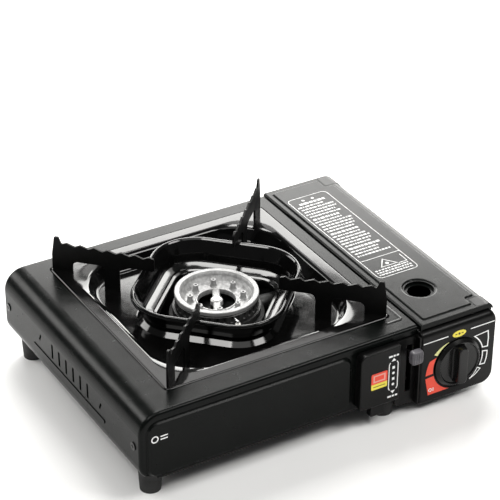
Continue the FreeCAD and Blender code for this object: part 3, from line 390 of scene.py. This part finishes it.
def make_tray():
    """Pressed enamel tray: flange, deep rounded recess and the sloped skirt under the collar."""
    top = tray_high.z
    path = round_corners([(0.0, tray_low.z + 11.3 * MM), (0.0, top), (12.0 * MM, top),
                          (19.5 * MM, FLOOR_Z), (30 * MM, FLOOR_Z)],
                         [0, 1.0 * MM, 5.0 * MM, 5.0 * MM, 0], closed=False)
    builder = Builder()
    rings = builder.skin([tray_loop(p.x, p.y) for p in path])
    step = [(5.6, 0.0), (4.2, 0.4), (0.2, 4.2), (-1.4, 4.5), (-8.4, 3.9), (-9.0, 2.9), (-11.4, 2.3),
            (-12.0, 1.9), (-12.0, -2.0)]
    skirt = round_corners([(COLLAR_BASE + u * MM, FLOOR_Z + v * MM) for u, v in step],
                          [r * MM for r in (0, 0.5, 0.9, 0.5, 0.5, 0.5, 0.4, 0.4, 0)], steps=4,
                          closed=False)
    inner = builder.skin([collar_loop(p.x, p.y) for p in skirt])
    count = len(rings[-1])
    shift = count // 8
    turned = [inner[0][(i - shift) % count] for i in range(count)]
    builder.bridge(rings[-1], turned)
    builder.flip()
    piece = builder.piece("pressed_drip_tray", "enamel_black", "trivet")
    solidify(piece, ENAMEL_SHEET)
    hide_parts("drip_tray")


def make_collar():
    """Wind shield: sloped inner ledge, flaring wall and a rolled lip."""
    lip = (collar_high.z - FLOOR_Z) / MM
    section = [(-8.4, 4.6), (-2.2, 6.3), (-1.0, 5.6), (0.3, 5.7), (2.3, 13.5), (6.3, lip - 1.2),
               (7.5, lip), (8.3, lip), (9.2, lip - 1.4), (9.2, lip - 2.8)]
    radii = [r * MM for r in (0, 0.5, 0.4, 0.8, 8.0, 1.5, 0.7, 0.7, 1.0, 0)]
    path = round_corners([(COLLAR_BASE + u * MM, FLOOR_Z + v * MM) for u, v in section], radii,
                         closed=False)
    builder = Builder()
    builder.skin([collar_loop(p.x, p.y) for p in path])
    piece = builder.piece("wind_shield_collar", "enamel_black", "trivet")
    solidify(piece, ENAMEL_SHEET)
    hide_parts("wind_collar")


# ---- burner -------------------------------------------------------------------------------
CROWN_R = (head_high.x - head_low.x) / 2
CROWN_TOP = head_high.z
BOWL_Z = CROWN_TOP - 9.2 * MM
HOLE_R = 16.6 * MM
POST_RING_R = 22.9 * MM
POST_COUNT = 8
FLAME_SLOTS = 36
STRUT_TURN = math.radians(63)
RING_STEPS = 96


def make_crown():
    """Cast ring of the burner: machined rim, grainy bowl, ported wall, posts and centre bridge."""
    section = [(CROWN_R - 4.6 * MM, CROWN_TOP - 0.5 * MM),
               (CROWN_R - 5.6 * MM, CROWN_TOP - 4 * MM), (CROWN_R - 9.0 * MM, BOWL_Z),
               (HOLE_R + 1.4 * MM, BOWL_Z - 0.4 * MM), (HOLE_R + 1.0 * MM, BOWL_Z + 0.6 * MM),
               (HOLE_R, BOWL_Z + 0.4 * MM), (HOLE_R - 0.4 * MM, BOWL_Z - 4 * MM)]
    bowl = round_corners(section, [0, 4 * MM, 4 * MM, 0.4 * MM, 0.3 * MM, 0.4 * MM, 0], steps=5,
                         closed=False)
    builder = Builder()
    builder.skin([upright_circle(BURNER, p.x, p.y, RING_STEPS) for p in bowl])
    piece = builder.piece("cast_burner_bowl", "cast_aluminium", "stove", "crown_bowl")
    solidify(piece, 1.2 * MM)
    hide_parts("burner_head")

    section = [(CROWN_R, CROWN_TOP - 3.2 * MM), (CROWN_R, CROWN_TOP),
               (CROWN_R - 4.4 * MM, CROWN_TOP), (CROWN_R - 5.0 * MM, CROWN_TOP - 3.4 * MM)]
    rim = round_corners(section, [0, 0.7 * MM, 0.6 * MM, 0], steps=4, closed=False)
    builder = Builder()
    rings = builder.skin([upright_circle(BURNER, p.x, p.y, RING_STEPS) for p in rim])
    builder.bridge(rings[-1], rings[0])
    builder.piece("machined_burner_rim", "cast_aluminium", "stove", "crown_rim")

    make_ported_wall()
    make_posts()
    make_bridge()


def make_ported_wall():
    """Outer wall of the burner with its row of narrow flame slots."""
    samples = 8
    groove = -4.0
    levels = [(-3.0, 0.0), (groove, 1.1), (-5.2, 0.0), (-5.6, 0.0), (-6.6, 1.3), (-10.6, 1.3),
              (-11.4, 0.0), (-14.0, 0.0)]
    builder = Builder()
    loops = []
    for drop, depth in levels:
        loop = []
        for i in range(FLAME_SLOTS * samples):
            angle = math.tau * i / (FLAME_SLOTS * samples)
            cut = depth if i % samples in (0, 1, 2) or drop == groove else 0.0
            radius = CROWN_R - (0.35 + cut) * MM
            loop.append((BURNER.x + radius * math.cos(angle),
                         BURNER.y + radius * math.sin(angle), CROWN_TOP + drop * MM))
        loops.append(loop)
    builder.skin(loops)
    builder.flip()
    # The ported wall is cast aluminium drawn with the near-black copy: painted shade under the rim.
    piece = builder.piece("ported_burner_wall", "cast_aluminium", "stove", "shaded_cast_metal")
    solidify(piece, 1.0 * MM)


def make_posts():
    """Short hollow posts around the bowl, each with a bright turned top and a dark plug of painted
    shade in its bore.
    """
    posts = Builder()
    tops = Builder()
    height = 6.6 * MM
    for i in range(POST_COUNT):
        angle = math.tau * (i + 0.5) / POST_COUNT
        centre = BURNER + Vector((math.cos(angle), math.sin(angle), 0)) * POST_RING_R
        foot = BOWL_Z - 0.4 * MM
        posts.skin([upright_circle(centre, r * MM, foot + z * height, 20)
                    for r, z in ((3.6, 0.0), (2.9, 0.10), (2.5, 0.3), (2.3, 0.9))])
        rings = [(2.3, 0.90), (2.3, 0.97), (2.05, 1.0), (1.15, 1.0), (0.95, 0.95), (0.95, 0.3)]
        loops = tops.skin([upright_circle(centre, r * MM, foot + z * height, 20) for r, z in rings])
        tops.cap(list(reversed(loops[-1])))
    posts.flip()
    tops.flip()
    posts.piece("burner_port_posts", "cast_aluminium", "stove", "cast_aluminium")
    tops.piece("turned_post_tops", "cast_aluminium", "stove", "crown_rim")
    # Dark plugs just below each post's turned top: painted shade standing in for the deep gas
    # bores.
    plugs = Builder()
    for i in range(POST_COUNT):
        angle = math.tau * (i + 0.5) / POST_COUNT
        centre = BURNER + Vector((math.cos(angle), math.sin(angle), 0)) * POST_RING_R
        rings = plugs.skin([upright_circle(centre, r * MM, BOWL_Z + z * MM, 16)
                            for r, z in ((0.93, 2.0), (0.93, 5.2), (0.5, 5.5))])
        plugs.cap(rings[-1])
    plugs.flip()
    plugs.piece("port_bore_shade", "inner_steel", "stove", "shaded_cast_metal")


def make_bridge():
    """Bridge across the centre hole with the hub that the burner's screw goes through."""
    builder = Builder()
    z1 = BOWL_Z + 0.3 * MM
    hub = [(5.4, -4.2), (5.4, -0.6), (4.8, 0.0), (3.6, 0.0)]
    builder.skin([upright_circle(BURNER, r * MM, z1 + z * MM, 32) for r, z in hub])
    builder.flip()
    along = Vector((math.cos(STRUT_TURN), math.sin(STRUT_TURN), 0))
    across = Vector((-along.y, along.x, 0))
    section = [(-3.2, -3.6), (3.2, -3.6), (3.2, -0.9), (2.4, -0.2), (-2.4, -0.2), (-3.2, -0.9)]
    for side in (-1, 1):
        ends = []
        for reach in (4.4 * MM, HOLE_R + 0.6 * MM):
            middle = Vector((BURNER.x, BURNER.y, z1)) + along * (side * reach)
            ends.append([middle + across * (u * MM) + Vector((0, 0, v * MM)) for u, v in section])
        rings = builder.skin(ends if side < 0 else list(reversed(ends)))
        builder.cap(list(reversed(rings[0])))
        builder.cap(rings[-1])
    builder.piece("burner_centre_bridge", "cast_aluminium", "stove", "crown_rim")


# ---- cartridge lid ------------------------------------------------------------------------
FINGER = Vector((lid_low.x + 30.7 * MM, lid_low.y + 48.0 * MM))
PLATEAU_RISE = 1.0 * MM
PLATEAU_RADIUS = 3.2 * MM


def plateau_outline(inset):
    """Outline of the raised panel, cut back around the two hinge lugs."""
    left = lid_low.x + 5.2 * MM + inset
    lug = lid_low.x + 56.0 * MM - inset
    right = lid_high.x - 9.6 * MM - inset
    front = lid_low.y + 4.8 * MM + inset
    lug_front = lid_low.y + 15.4 * MM + inset
    lug_rear = lid_high.y - 18.2 * MM - inset
    rear = lid_high.y - 4.6 * MM - inset
    corners = [(left, front), (lug, front), (lug, lug_front), (right, lug_front),
               (right, lug_rear), (lug, lug_rear), (lug, rear), (left, rear)]
    bend = PLATEAU_RADIUS - inset
    hollow = 1.2 * MM + inset
    radii = [bend, bend, hollow, bend, bend, hollow, bend, bend]
    return round_corners(corners, radii)


def make_lid_panel():
    """Raised panel pressed into the lid's top, open around the finger dish."""
    top = lid_high.z
    stations = [(0.0, 0.03), (0.35, 0.12), (1.3, 0.88), (1.9, 1.0), (2.3, 1.0)]
    base = plateau_outline(0)
    outline = split_long(base, 3 * MM)
    builder = Builder()
    loops = []
    for inset, rise in stations:
        full = resample(plateau_outline(inset * MM), base, outline)
        loops.append([(p.x, p.y, top + rise * PLATEAU_RISE) for p in full])
    hole = [(16.0, 1.0), (15.6, 1.0), (14.7, 0.75), (14.2, 0.3), (14.1, -0.3)]
    for radius, rise in hole:
        circle = ring_towards(outline, FINGER, radius * MM)
        loops.append([(p.x, p.y, top + rise * PLATEAU_RISE) for p in circle])
    builder.skin(loops)
    piece = builder.piece("raised_lid_panel", "painted_black", "lid")
    solidify(piece, 0.25 * MM)


def resample(path, base, fine):
    """Places on one path that match the fine points of a base path with the same corners."""
    result = []
    j = 0
    for i, point in enumerate(base):
        nxt = base[(i + 1) % len(base)]
        while j < len(fine) and on_segment(fine[j], point, nxt):
            share = (fine[j] - point).length / max((nxt - point).length, 1e-9)
            result.append(path[i].lerp(path[(i + 1) % len(path)], share))
            j += 1
    return result


def on_segment(point, start, end):
    """Whether a point lies on a segment, its far end left out."""
    near = 1e-7
    whole = (end - start).length
    before, after = (point - start).length, (point - end).length
    return before + after - whole < near < after


# ---- front panel --------------------------------------------------------------------------
def make_field_edge():
    """Soft sloped edge of the field pressed into the front panel."""
    face = front_low.y - 0.03 * MM
    left, right = shell_low.x + 8.0 * MM, shell_low.x + 197.0 * MM
    low, high = TABLE_Z + 24.0 * MM, TABLE_Z + 75.5 * MM
    builder = Builder()
    loops = []
    for inset, depth in ((-1.3, 2.35), (-1.2, 2.3), (-0.5, 1.95), (1.3, 0.25), (1.9, 0.0),
                         (2.6, 0.0)):
        edge = inset * MM
        corners = [(left + edge, low + edge), (right - edge, low + edge),
                   (right - edge, high - edge), (left + edge, high - edge)]
        path = round_corners(corners, [8.0 * MM - edge] * 4, steps=8)
        loops.append([(p.x, face + depth * MM, p.y) for p in path])
    builder.skin(loops)
    piece = builder.piece("pressed_field_edge", "painted_black", "stove")
    solidify(piece, 0.02 * MM)


# ---- control panel and knob ---------------------------------------------------------------
def make_panel():
    """Moulded control panel: generous round along its top, small rounds elsewhere."""
    left, right = panel_low.x, panel_high.x
    bottom, top = panel_low.z, panel_high.z
    front, back = panel_low.y, panel_high.y
    side_round = 1.6 * MM
    top_round = 5.6 * MM

    def outline(depth):
        side = side_round - math.sqrt(max(0.0, side_round ** 2 - max(0.0, side_round - depth) ** 2))
        drop = top_round - math.sqrt(max(0.0, top_round ** 2 - max(0.0, top_round - depth) ** 2))
        corners = [(left + side, bottom + side), (right - 0.6 * MM - side, bottom + side),
                   (right - side, top - drop), (left + side, top - drop)]
        radii = [2.5 * MM - side, 11 * MM - side, 7 * MM - side, 2 * MM - side]
        return corners, radii

    builder = Builder()
    base = round_corners(*outline(0), steps=8)
    fine = split_long(base, 3 * MM)
    path = resample(round_corners(*outline(top_round), steps=8), base, fine)
    loops = [[(p.x, back, p.y) for p in path]]
    steps = 12
    for i in range(steps + 1):
        depth = top_round * (1 - math.sin(math.radians(90 * i / steps)))
        path = resample(round_corners(*outline(depth), steps=8), base, fine)
        loops.append([(p.x, front + depth, p.y) for p in path])
    knob_radius = (knob_high.x - knob_low.x) / 2
    for radius, depth in ((2.4, 0.0), (1.9, 0.0), (1.1, 0.25), (0.9, 0.9), (0.7, 1.15)):
        circle = ring_towards(fine, (KNOB.x, KNOB.z), knob_radius + radius * MM)
        loops.append([(p.x, front + depth * MM, p.y) for p in circle])
    circle = ring_towards(fine, (KNOB.x, KNOB.z), 4.5 * MM)
    loops.append([(p.x, front + 1.15 * MM, p.y) for p in circle])
    builder.skin(loops)
    piece = builder.piece("moulded_control_panel", "black_plastic", "stove")
    solidify(piece, 1.4 * MM)
    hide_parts("control_panel")


GRIP_POINTS = 72


def make_knob():
    """Low round knob: tapered skirt with a crisp rim, a shallow dish and a waisted grip bar."""
    radius = (knob_high.x - knob_low.x) / 2
    back, front = knob_high.y, knob_low.y
    panel_face = panel_low.y
    rim = radius - 2.8 * MM
    face = panel_face - 2.8 * MM
    section = [(3.0 * MM, back), (radius - 0.3 * MM, back), (radius, back - 0.3 * MM),
               (radius - 0.2 * MM, panel_face - 0.4 * MM), (rim + 0.3 * MM, face + 0.3 * MM),
               (rim - 0.1 * MM, face), (rim - 0.9 * MM, face), (rim - 1.8 * MM, face + 1.2 * MM),
               (10 * MM, face + 1.5 * MM), (0.2 * MM, face + 1.5 * MM)]
    radii = [r * MM for r in (0, 0, 0, 0.3, 0.3, 0.2, 0.4, 0.8, 3, 0)]
    profile = round_corners(section, radii, steps=5, closed=False)
    builder = Builder()
    rings = builder.skin([front_circle(KNOB, p.x, p.y, RING_STEPS) for p in profile])
    builder.cap(rings[-1])
    base = face + 1.6 * MM
    deep = base - front
    stations = [(0.0, 7.4, 18.7), (0.10, 6.5, 18.3), (0.3, 5.9, 18.0), (0.7, 5.4, 17.8),
                (0.9, 5.2, 17.6), (0.97, 4.8, 17.2), (1.0, 3.9, 16.3)]
    loops = []
    for share, wide, tall in stations:
        loop = []
        for i in range(GRIP_POINTS):
            angle = math.tau * i / GRIP_POINTS
            u = wide * soft_power(math.cos(angle), 0.5)
            v = tall * soft_power(math.sin(angle), 0.36)
            loop.append((KNOB.x + u * MM * waist(v), base - share * deep, KNOB.z + v * MM))
        loops.append(loop)
    grip = builder.skin(loops)
    builder.cap(grip[-1])
    piece = builder.piece("dished_control_knob", "knob_plastic", "knob")
    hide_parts("control_knob")


def make_lever_cap():
    """Moulded thumb cap of the lever with upright ribs on its face."""
    low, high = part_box("lever_handle")
    centre = (low + high) / 2
    wide, tall = (high.x - low.x) / 2, (high.z - low.z) / 2
    base = low.y + 0.5 * MM
    builder = Builder()
    loops = []
    for depth, shrink in ((high.y - base, 0.0), (1.5 * MM, 0.0), (0.7 * MM, 0.25), (0.2 * MM, 0.7),
                          (0.0, 1.3)):
        loop = []
        for i in range(GRIP_POINTS):
            angle = math.tau * i / GRIP_POINTS
            u = (wide - shrink * MM) * soft_power(math.cos(angle), 0.4)
            v = (tall - shrink * MM) * soft_power(math.sin(angle), 0.4)
            loop.append((centre.x + u, base + depth, centre.z + v))
        loops.append(loop)
    rings = builder.skin(loops)
    builder.cap(rings[-1])
    builder.cap(list(reversed(rings[0])))
    corners = ((-1, -1), (1, -1), (1, 1), (-1, 1))
    section = ((0.55 * MM, base + 0.1 * MM), (0.5 * MM, base - 0.3 * MM), (0.25 * MM, low.y))
    for step in range(4):
        x = centre.x + (step - 1.5) * wide * 0.42
        rib = [[(x + side * reach, y, centre.z + end * (tall - 2.2 * MM)) for side, end in corners]
               for reach, y in section]
        ends = builder.skin(rib)
        builder.cap(list(reversed(ends[0])))
        builder.cap(ends[-1])
    piece = builder.piece("ribbed_lever_cap", "grey_plastic", "lever", "lever_grey")
    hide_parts("lever_handle")


def soft_power(value, power):
    """Power of a value's size with its sign kept, for squared-off ovals."""
    return math.copysign(abs(value) ** power, value)


def waist(height):
    """Share of the grip's width at a height from its middle, a little narrower there."""
    return 0.88 + 0.12 * min(1.0, (height / 17.0) ** 2)


# ---- printed marks ------------------------------------------------------------------------
INK = 0.1 * MM      # thickness of a printed layer
LIFT = 0.02 * MM    # gap that keeps a layer clear of what it lies on


class Print(Builder):
    """Flat ink shapes on one plane, drawn in millimetres from an origin on that plane."""

    def __init__(self, place):
        super().__init__()
        self.place = place

    def patch(self, points):
        area = sum(a[0] * b[1] - a[1] * b[0] for a, b in zip(points, points[1:] + points[:1]))
        ordered = points if area > 0 else list(reversed(points))
        self.cap(self.loop([self.place(p[0], p[1]) for p in ordered]))

    def bar(self, x0, x1, y0, y1):
        self.patch([(x0, y0), (x1, y0), (x1, y1), (x0, y1)])

    def disc(self, x, y, radius, squash=1.0, steps=28):
        self.patch([(x + radius * math.cos(math.tau * i / steps),
                     y + radius * squash * math.sin(math.tau * i / steps)) for i in range(steps)])

    def stroke(self, points, width, closed=True):
        """Band of one width along a path."""
        count = len(points)
        left, right = [], []
        for i, point in enumerate(points):
            here = Vector(point)
            before = Vector(points[i - 1]) if closed or i > 0 else None
            after = Vector(points[(i + 1) % count]) if closed or i < count - 1 else None
            arms = [(here - before).normalized() if before else None,
                    (after - here).normalized() if after else None]
            arms = [arm for arm in arms if arm is not None]
            normals = [Vector((-arm.y, arm.x)) for arm in arms]
            middle = sum(normals, Vector((0, 0))).normalized()
            reach = width / 2 / max(0.5, middle.dot(normals[0]))
            left.append(here + middle * reach)
            right.append(here - middle * reach)
        first = self.loop([self.place(p.x, p.y) for p in right])
        second = self.loop([self.place(p.x, p.y) for p in left])
        self.bridge(first, second, closed)

    def finish(self, name, slot, body, ink):
        solidify(self.piece(name, slot, body, ink), INK, 1.0)


def words(ink, draw, x0, x1, y0, height, short=1.2, long=4.6, fill=1.0):
    """One row of dashes that stands for a line of small print."""
    x = x0
    end = x0 + (x1 - x0) * fill
    while x < end:
        width = min(draw.uniform(short, long), end - x)
        if width > 0.5:
            ink.bar(x, x + width, y0, y0 + height)
        x += width + draw.uniform(0.6, 1.1)


def print_lid_label():
    """Framed block of greeked small print on the lid, with a ruled lower field."""
    draw = random.Random(11)
    z = lid_high.z + PLATEAU_RISE + LIFT
    ink = Print(lambda x, y: (lid_low.x + x * MM, lid_low.y + y * MM, z))
    left, right, low, high, divide = 9.7, 50.9, 77.3, 231.5, 108.0
    frame_corners = [(left, low), (right, low), (right, high), (left, high)]
    ink.stroke(round_corners(frame_corners, [4.5] * 4), 0.75)
    ink.bar(left + 0.4, right - 0.4, divide, divide + 0.8)
    for x in (left + 14, left + 24):
        ink.disc(x, high - 6.0, 1.5, steps=12)
    y = high - 13.0
    words(ink, draw, left + 7, right - 7, y, 3.0, 2.6, 5.0)
    rows = 0
    while y > divide + 8:
        bold = rows % 6 == 5
        y -= 4.7 if not bold else 6.0
        indent = 3.4 if rows % 3 else 2.4
        words(ink, draw, left + indent, right - 2.6, y, 2.9 if bold else 2.1, 1.2, 4.6,
              draw.uniform(0.72, 1.0))
        rows += 1
    icon = (left + 20, low + 19)
    ink.stroke([(icon[0] - 8, icon[1] - 4), (icon[0] + 8, icon[1] - 4), (icon[0], icon[1] + 7)],
               0.9)
    ink.disc(icon[0], icon[1] - 0.5, 1.8, steps=14)
    ink.stroke([(right - 12, low + 14), (right - 3.4, low + 14), (right - 3.4, low + 26)], 0.8,
               closed=False)
    for row in range(3):
        words(ink, draw, left + 3, right - 3, low + 10.4 - row * 3.6, 1.9, 1.2, 3.2)
    ink.finish("lid_label_print", "painted_black", "lid", "label_ink")


def print_control_panel():
    """Rule, dial marks and coloured fields around the knob."""
    y = panel_low.y - LIFT
    middle = (0.0, 0.0)

    def on_face(u, v):
        return KNOB.x + u * MM, y, KNOB.z + v * MM

    def on_ink(u, v):
        return KNOB.x + u * MM, y - INK - LIFT, KNOB.z + v * MM

    white = Print(on_face)
    white.bar(-36.6, -11.6, 29.4, 30.3)
    white.bar(11.6, 36.4, 29.6, 30.5)
    white.stroke(arc(middle, 26.2, 15, 52, 8) + [(30.2, 22.0), (31.0, 15.0), (30.6, 6.2)], 1.05)
    white.stroke(arc(middle, 25.8, -24, 6, 6) + arc(middle, 30.6, 3, -21, 6), 1.0)
    white.stroke(arc(middle, 25.8, -58, -31, 6, 24.8) + arc(middle, 28.4, -31, -58, 6, 25.8), 0.8)
    white.finish("panel_marks_white", "black_plastic", "stove", "white_ink")

    red = Print(on_face)
    red.patch(arc(middle, 25.6, 152, 187, 10) + arc(middle, 33.0, 186, 161, 10, 31.0))
    red.patch(arc(middle, 25.2, 193, 252, 14) + [(-29.5, -24.0), (-33.0, -6.4)])
    red.finish("panel_field_red", "black_plastic", "stove", "red_ink")

    pale = Print(on_face)
    pale.patch(arc(middle, 25.6, 114, 148, 10) + arc(middle, 29.4, 148.5, 114, 10, 25.9))
    pale.finish("panel_wedge_pale", "black_plastic", "stove", "pale_ink")

    yellow = Print(on_face)
    yellow.disc(-0.2, 29.2, 6.9, 0.47)
    yellow.finish("panel_oval_yellow", "black_plastic", "stove", "yellow_ink")
    dark = Print(on_ink)
    dark.disc(-0.2, 29.2, 1.1)
    for side in (-1, 1):
        dark.bar(-0.2 + side * 3.2 - 1.0, -0.2 + side * 3.2 + 1.0, 28.7, 29.7)
    dark.finish("panel_oval_dots", "black_plastic", "stove", "dark_ink")
    symbol = Print(on_ink)
    symbol.stroke(arc((-27.6, -19.4), 1.5, 0, 345, 16), 0.7)
    symbol.bar(-24.9, -24.1, -21.0, -17.6)
    symbol.finish("panel_field_symbol", "black_plastic", "stove", "white_ink")


def print_lock_plate():
    """Two-colour sticker and a column of generic symbols beside the lever."""
    y = bezel_low.y - LIFT
    left, right = 10.4, 26.2
    low, middle, high = 31.0, 36.6, 47.0

    def on_face(u, v):
        return bezel_low.x + u * MM, y, bezel_low.z + v * MM

    def on_ink(u, v):
        return bezel_low.x + u * MM, y - INK - LIFT, bezel_low.z + v * MM

    red = Print(on_face)
    red.patch(round_corners([(left, middle), (right, middle), (right, high), (left, high)],
                            [0.01, 0.01, 1.2, 1.2], steps=4))
    red.finish("sticker_field_red", "black_plastic", "stove", "red_ink")
    yellow = Print(on_face)
    top = middle - 0.1
    yellow.patch(round_corners([(left, low), (right, low), (right, top), (left, top)],
                               [1.2, 1.2, 0.01, 0.01], steps=4))
    yellow.finish("sticker_field_yellow", "black_plastic", "stove", "yellow_ink")
    pink = Print(on_ink)
    inside = [(13.0, middle + 2.2), (23.6, middle + 2.2), (23.6, high - 2.4), (13.0, high - 2.4)]
    pink.stroke(inside, 1.3)
    pink.finish("sticker_frame_pink", "black_plastic", "stove", "pink_ink")
    dark = Print(on_ink)
    dark.bar(12.4, 24.2, low + 2.5, low + 3.1)
    dark.finish("sticker_rule_dark", "black_plastic", "stove", "dark_ink")

    white = Print(on_face)
    column = 32.2
    frame_low, frame_high = 27.5, 51.0
    for side in (-1, 1):
        x = column + side * 4.4
        white.stroke([(x - side * 1.2, frame_low - 2.2), (x, frame_low), (x, frame_high),
                      (x - side * 1.2, frame_high + 2.0)], 0.8, closed=False)
    for i, radius in enumerate((1.0, 1.3, 1.0, 1.4)):
        v = frame_low + 3.2 + i * 5.6
        if i % 2:
            white.bar(column - 1.2, column + 1.2, v - 1.3, v + 1.3)
        else:
            white.disc(column, v, radius + 0.3, steps=16)
    for v, way in ((frame_high + 3.0, 1), (frame_low - 3.2, -1)):
        white.patch([(column - 2.2, v), (column + 2.2, v), (column, v + way * 3.0)])
    for v in (frame_high + 7.2, frame_low - 9.6):
        white.bar(column - 5.0, column - 1.4, v, v + 1.7)
        white.bar(column - 0.6, column + 1.6, v, v + 1.7)
        white.bar(column + 2.4, column + 4.8, v, v + 1.7)
    white.finish("lock_plate_symbols", "black_plastic", "stove", "white_ink")


def print_front_mark():
    """Small generic mark on the front panel: a ring and two rules."""
    y = front_low.y - LIFT
    ink = Print(lambda u, v: (front_low.x + u * MM, y, front_low.z + v * MM))
    origin = (9.6, 40.0)
    ink.stroke(arc(origin, 2.8, 0, 345, 22), 1.0)
    for row in (-1.9, 0.9):
        base = origin[1] + row
        ink.bar(origin[0] + 5.0, origin[0] + 11.4, base, base + 1.1)
    ink.finish("front_mark_print", "painted_black", "stove", "white_ink")


# ---- small pressings on the shell ---------------------------------------------------------
def make_corner_bead():
    """Raised bead that turns the corner of the shell's top beside the tray."""
    z = shell_high.z
    x = tray_high.x + 6.4 * MM
    y = tray_low.y - 8.2 * MM
    path = round_corners([(x, y + 55 * MM), (x, y), (x - 16 * MM, y)], [0, 2.5 * MM, 0],
                         closed=False)
    section = [(-1.7, 0.0), (-1.1, 0.35), (-0.4, 0.55), (0.4, 0.55), (1.1, 0.35), (1.7, 0.0)]
    builder = Builder()
    loops = []
    for i, point in enumerate(path):
        ahead = path[min(i + 1, len(path) - 1)] - path[max(i - 1, 0)]
        normal = Vector((-ahead.y, ahead.x)).normalized()
        tall = 0.1 if i in (0, len(path) - 1) else 1.0
        loops.append([(point.x + normal.x * u * MM, point.y + normal.y * u * MM, z + v * tall * MM)
                      for u, v in section])
    rings = builder.skin(loops)
    builder.cap(rings[0])
    builder.cap(list(reversed(rings[-1])))
    builder.flip()
    builder.piece("corner_bead", "painted_black", "stove")


# ---- CAD nodes that stay ------------------------------------------------------------------
def dress_frame():
    slots = {part["node"]: part["material_slot"] for part in frame["record"]["subparts"]}
    # burner_base and mixer_tube get the near-black copy of the cast metal: painted shade for parts
    # in shadow under the rim and in the well.
    special = {"burner_base": "shaded_cast_metal", "mixer_tube": "shaded_cast_metal",
               "support_rivets": "enamel_black", "body_screws": "enamel_black",
               "cartridge_tub": "painted_black"}
    for name, node in frame["nodes"].items():
        node.data.materials.clear()
        node.data.materials.append(MATERIALS[special.get(name, slots[name])])


# ---- stage --------------------------------------------------------------------------------
CAMERA_AZIMUTH = -30.53     # degrees from straight in front, towards the left side
CAMERA_ELEVATION = 31.25
CAMERA_ROLL = 0.15
CAMERA_DISTANCE = 1.7737
CAMERA_LENS = 147.0
AIM = Vector((0.0211, 0.0338, 0.0998))
# Name, azimuth and elevation in degrees, distance and size in metres, brightness.
SOFTBOXES = [
    ("back_right", 31, 17.5, 0.75, (0.92, 0.37), 10.0),
    ("high_back", 38, 42, 1.5, (1.0, 0.36), 3.0),
    ("right_strip", 49.5, 36.5, 2.9, (0.36, 0.56), 13.0),
    ("overhead", 18, 60, 1.5, (0.5, 0.5), 18.0),
    ("back_left", -36, 25, 1.6, (0.9, 0.40), 9.0),
    ("front_left", 246, 54, 2.2, (0.56, 0.44), 16.0),
    ("front_right", 140, 48, 2.0, (0.8, 0.5), 15.0),
    ("front", 205, 66, 2.6, (2.0, 1.8), 1.8),
]


def direction(azimuth, elevation):
    """Unit vector, the azimuth turned from straight behind towards the right."""
    a, e = math.radians(azimuth), math.radians(elevation)
    return Vector((math.sin(a) * math.cos(e), math.cos(a) * math.cos(e), math.sin(e)))


def make_camera():
    back = -direction(-CAMERA_AZIMUTH, 0) * math.cos(math.radians(CAMERA_ELEVATION))
    back.z = math.sin(math.radians(CAMERA_ELEVATION))
    data = bpy.data.cameras.new("camera")
    data.lens = CAMERA_LENS
    data.sensor_width = 36.0
    data.clip_end = 20.0
    camera = bpy.data.objects.new("camera", data)
    camera.location = AIM + back * CAMERA_DISTANCE
    turn = back.to_track_quat("Z", "Y").to_matrix().to_4x4()
    roll = Matrix.Rotation(math.radians(CAMERA_ROLL), 4, "Z")
    camera.rotation_euler = (turn @ roll).to_euler()
    bpy.context.scene.collection.objects.link(camera)
    bpy.context.scene.camera = camera


def softbox(name, azimuth, elevation, distance, size, brightness):
    """Rectangular lamp aimed at the stove, its brightness the same whatever its size."""
    data = bpy.data.lights.new(name, "AREA")
    data.shape = "RECTANGLE"
    data.size, data.size_y = size
    data.energy = brightness * math.pi * size[0] * size[1]
    data.color = (1.0, 0.992, 0.968)
    lamp = bpy.data.objects.new(name, data)
    place = direction(azimuth, elevation)
    lamp.location = AIM + place * distance
    lamp.rotation_euler = place.to_track_quat("Z", "Y").to_euler()
    bpy.context.scene.collection.objects.link(lamp)


def make_stage():
    reach = 4.0
    verts = [(-reach, -reach, TABLE_Z), (reach, -reach, TABLE_Z), (reach, reach, TABLE_Z),
             (-reach, reach, TABLE_Z)]
    mesh = bpy.data.meshes.new("floor")
    mesh.from_pydata(verts, [], [(0, 1, 2, 3)])
    floor = bpy.data.objects.new("floor", mesh)
    bpy.context.scene.collection.objects.link(floor)
    shader = Shader("pale_floor")
    shader.link(shader.blend(shader.noise(6, 2), (0.80, 0.80, 0.80), (0.84, 0.84, 0.84)),
                shader.bsdf.inputs["Base Color"])
    shader.set(Roughness=0.9, Specular_IOR_Level=0.1)
    floor.data.materials.append(shader.material)

    world = bpy.data.worlds.new("studio")
    world.use_nodes = True
    background = world.node_tree.nodes["Background"]
    background.inputs["Color"].default_value = (1, 1, 1, 1)
    background.inputs["Strength"].default_value = 0.12
    scene = bpy.context.scene
    scene.world = world
    scene.view_settings.view_transform = "Standard"
    for name, *setting in SOFTBOXES:
        softbox(name + "_softbox", *setting)


make_camera()
make_stage()
dress_frame()
make_tray()
make_collar()
make_crown()
make_lid_panel()
make_field_edge()
make_panel()
make_knob()
make_lever_cap()
make_corner_bead()
print_lid_label()
print_control_panel()
print_lock_plate()
print_front_mark()
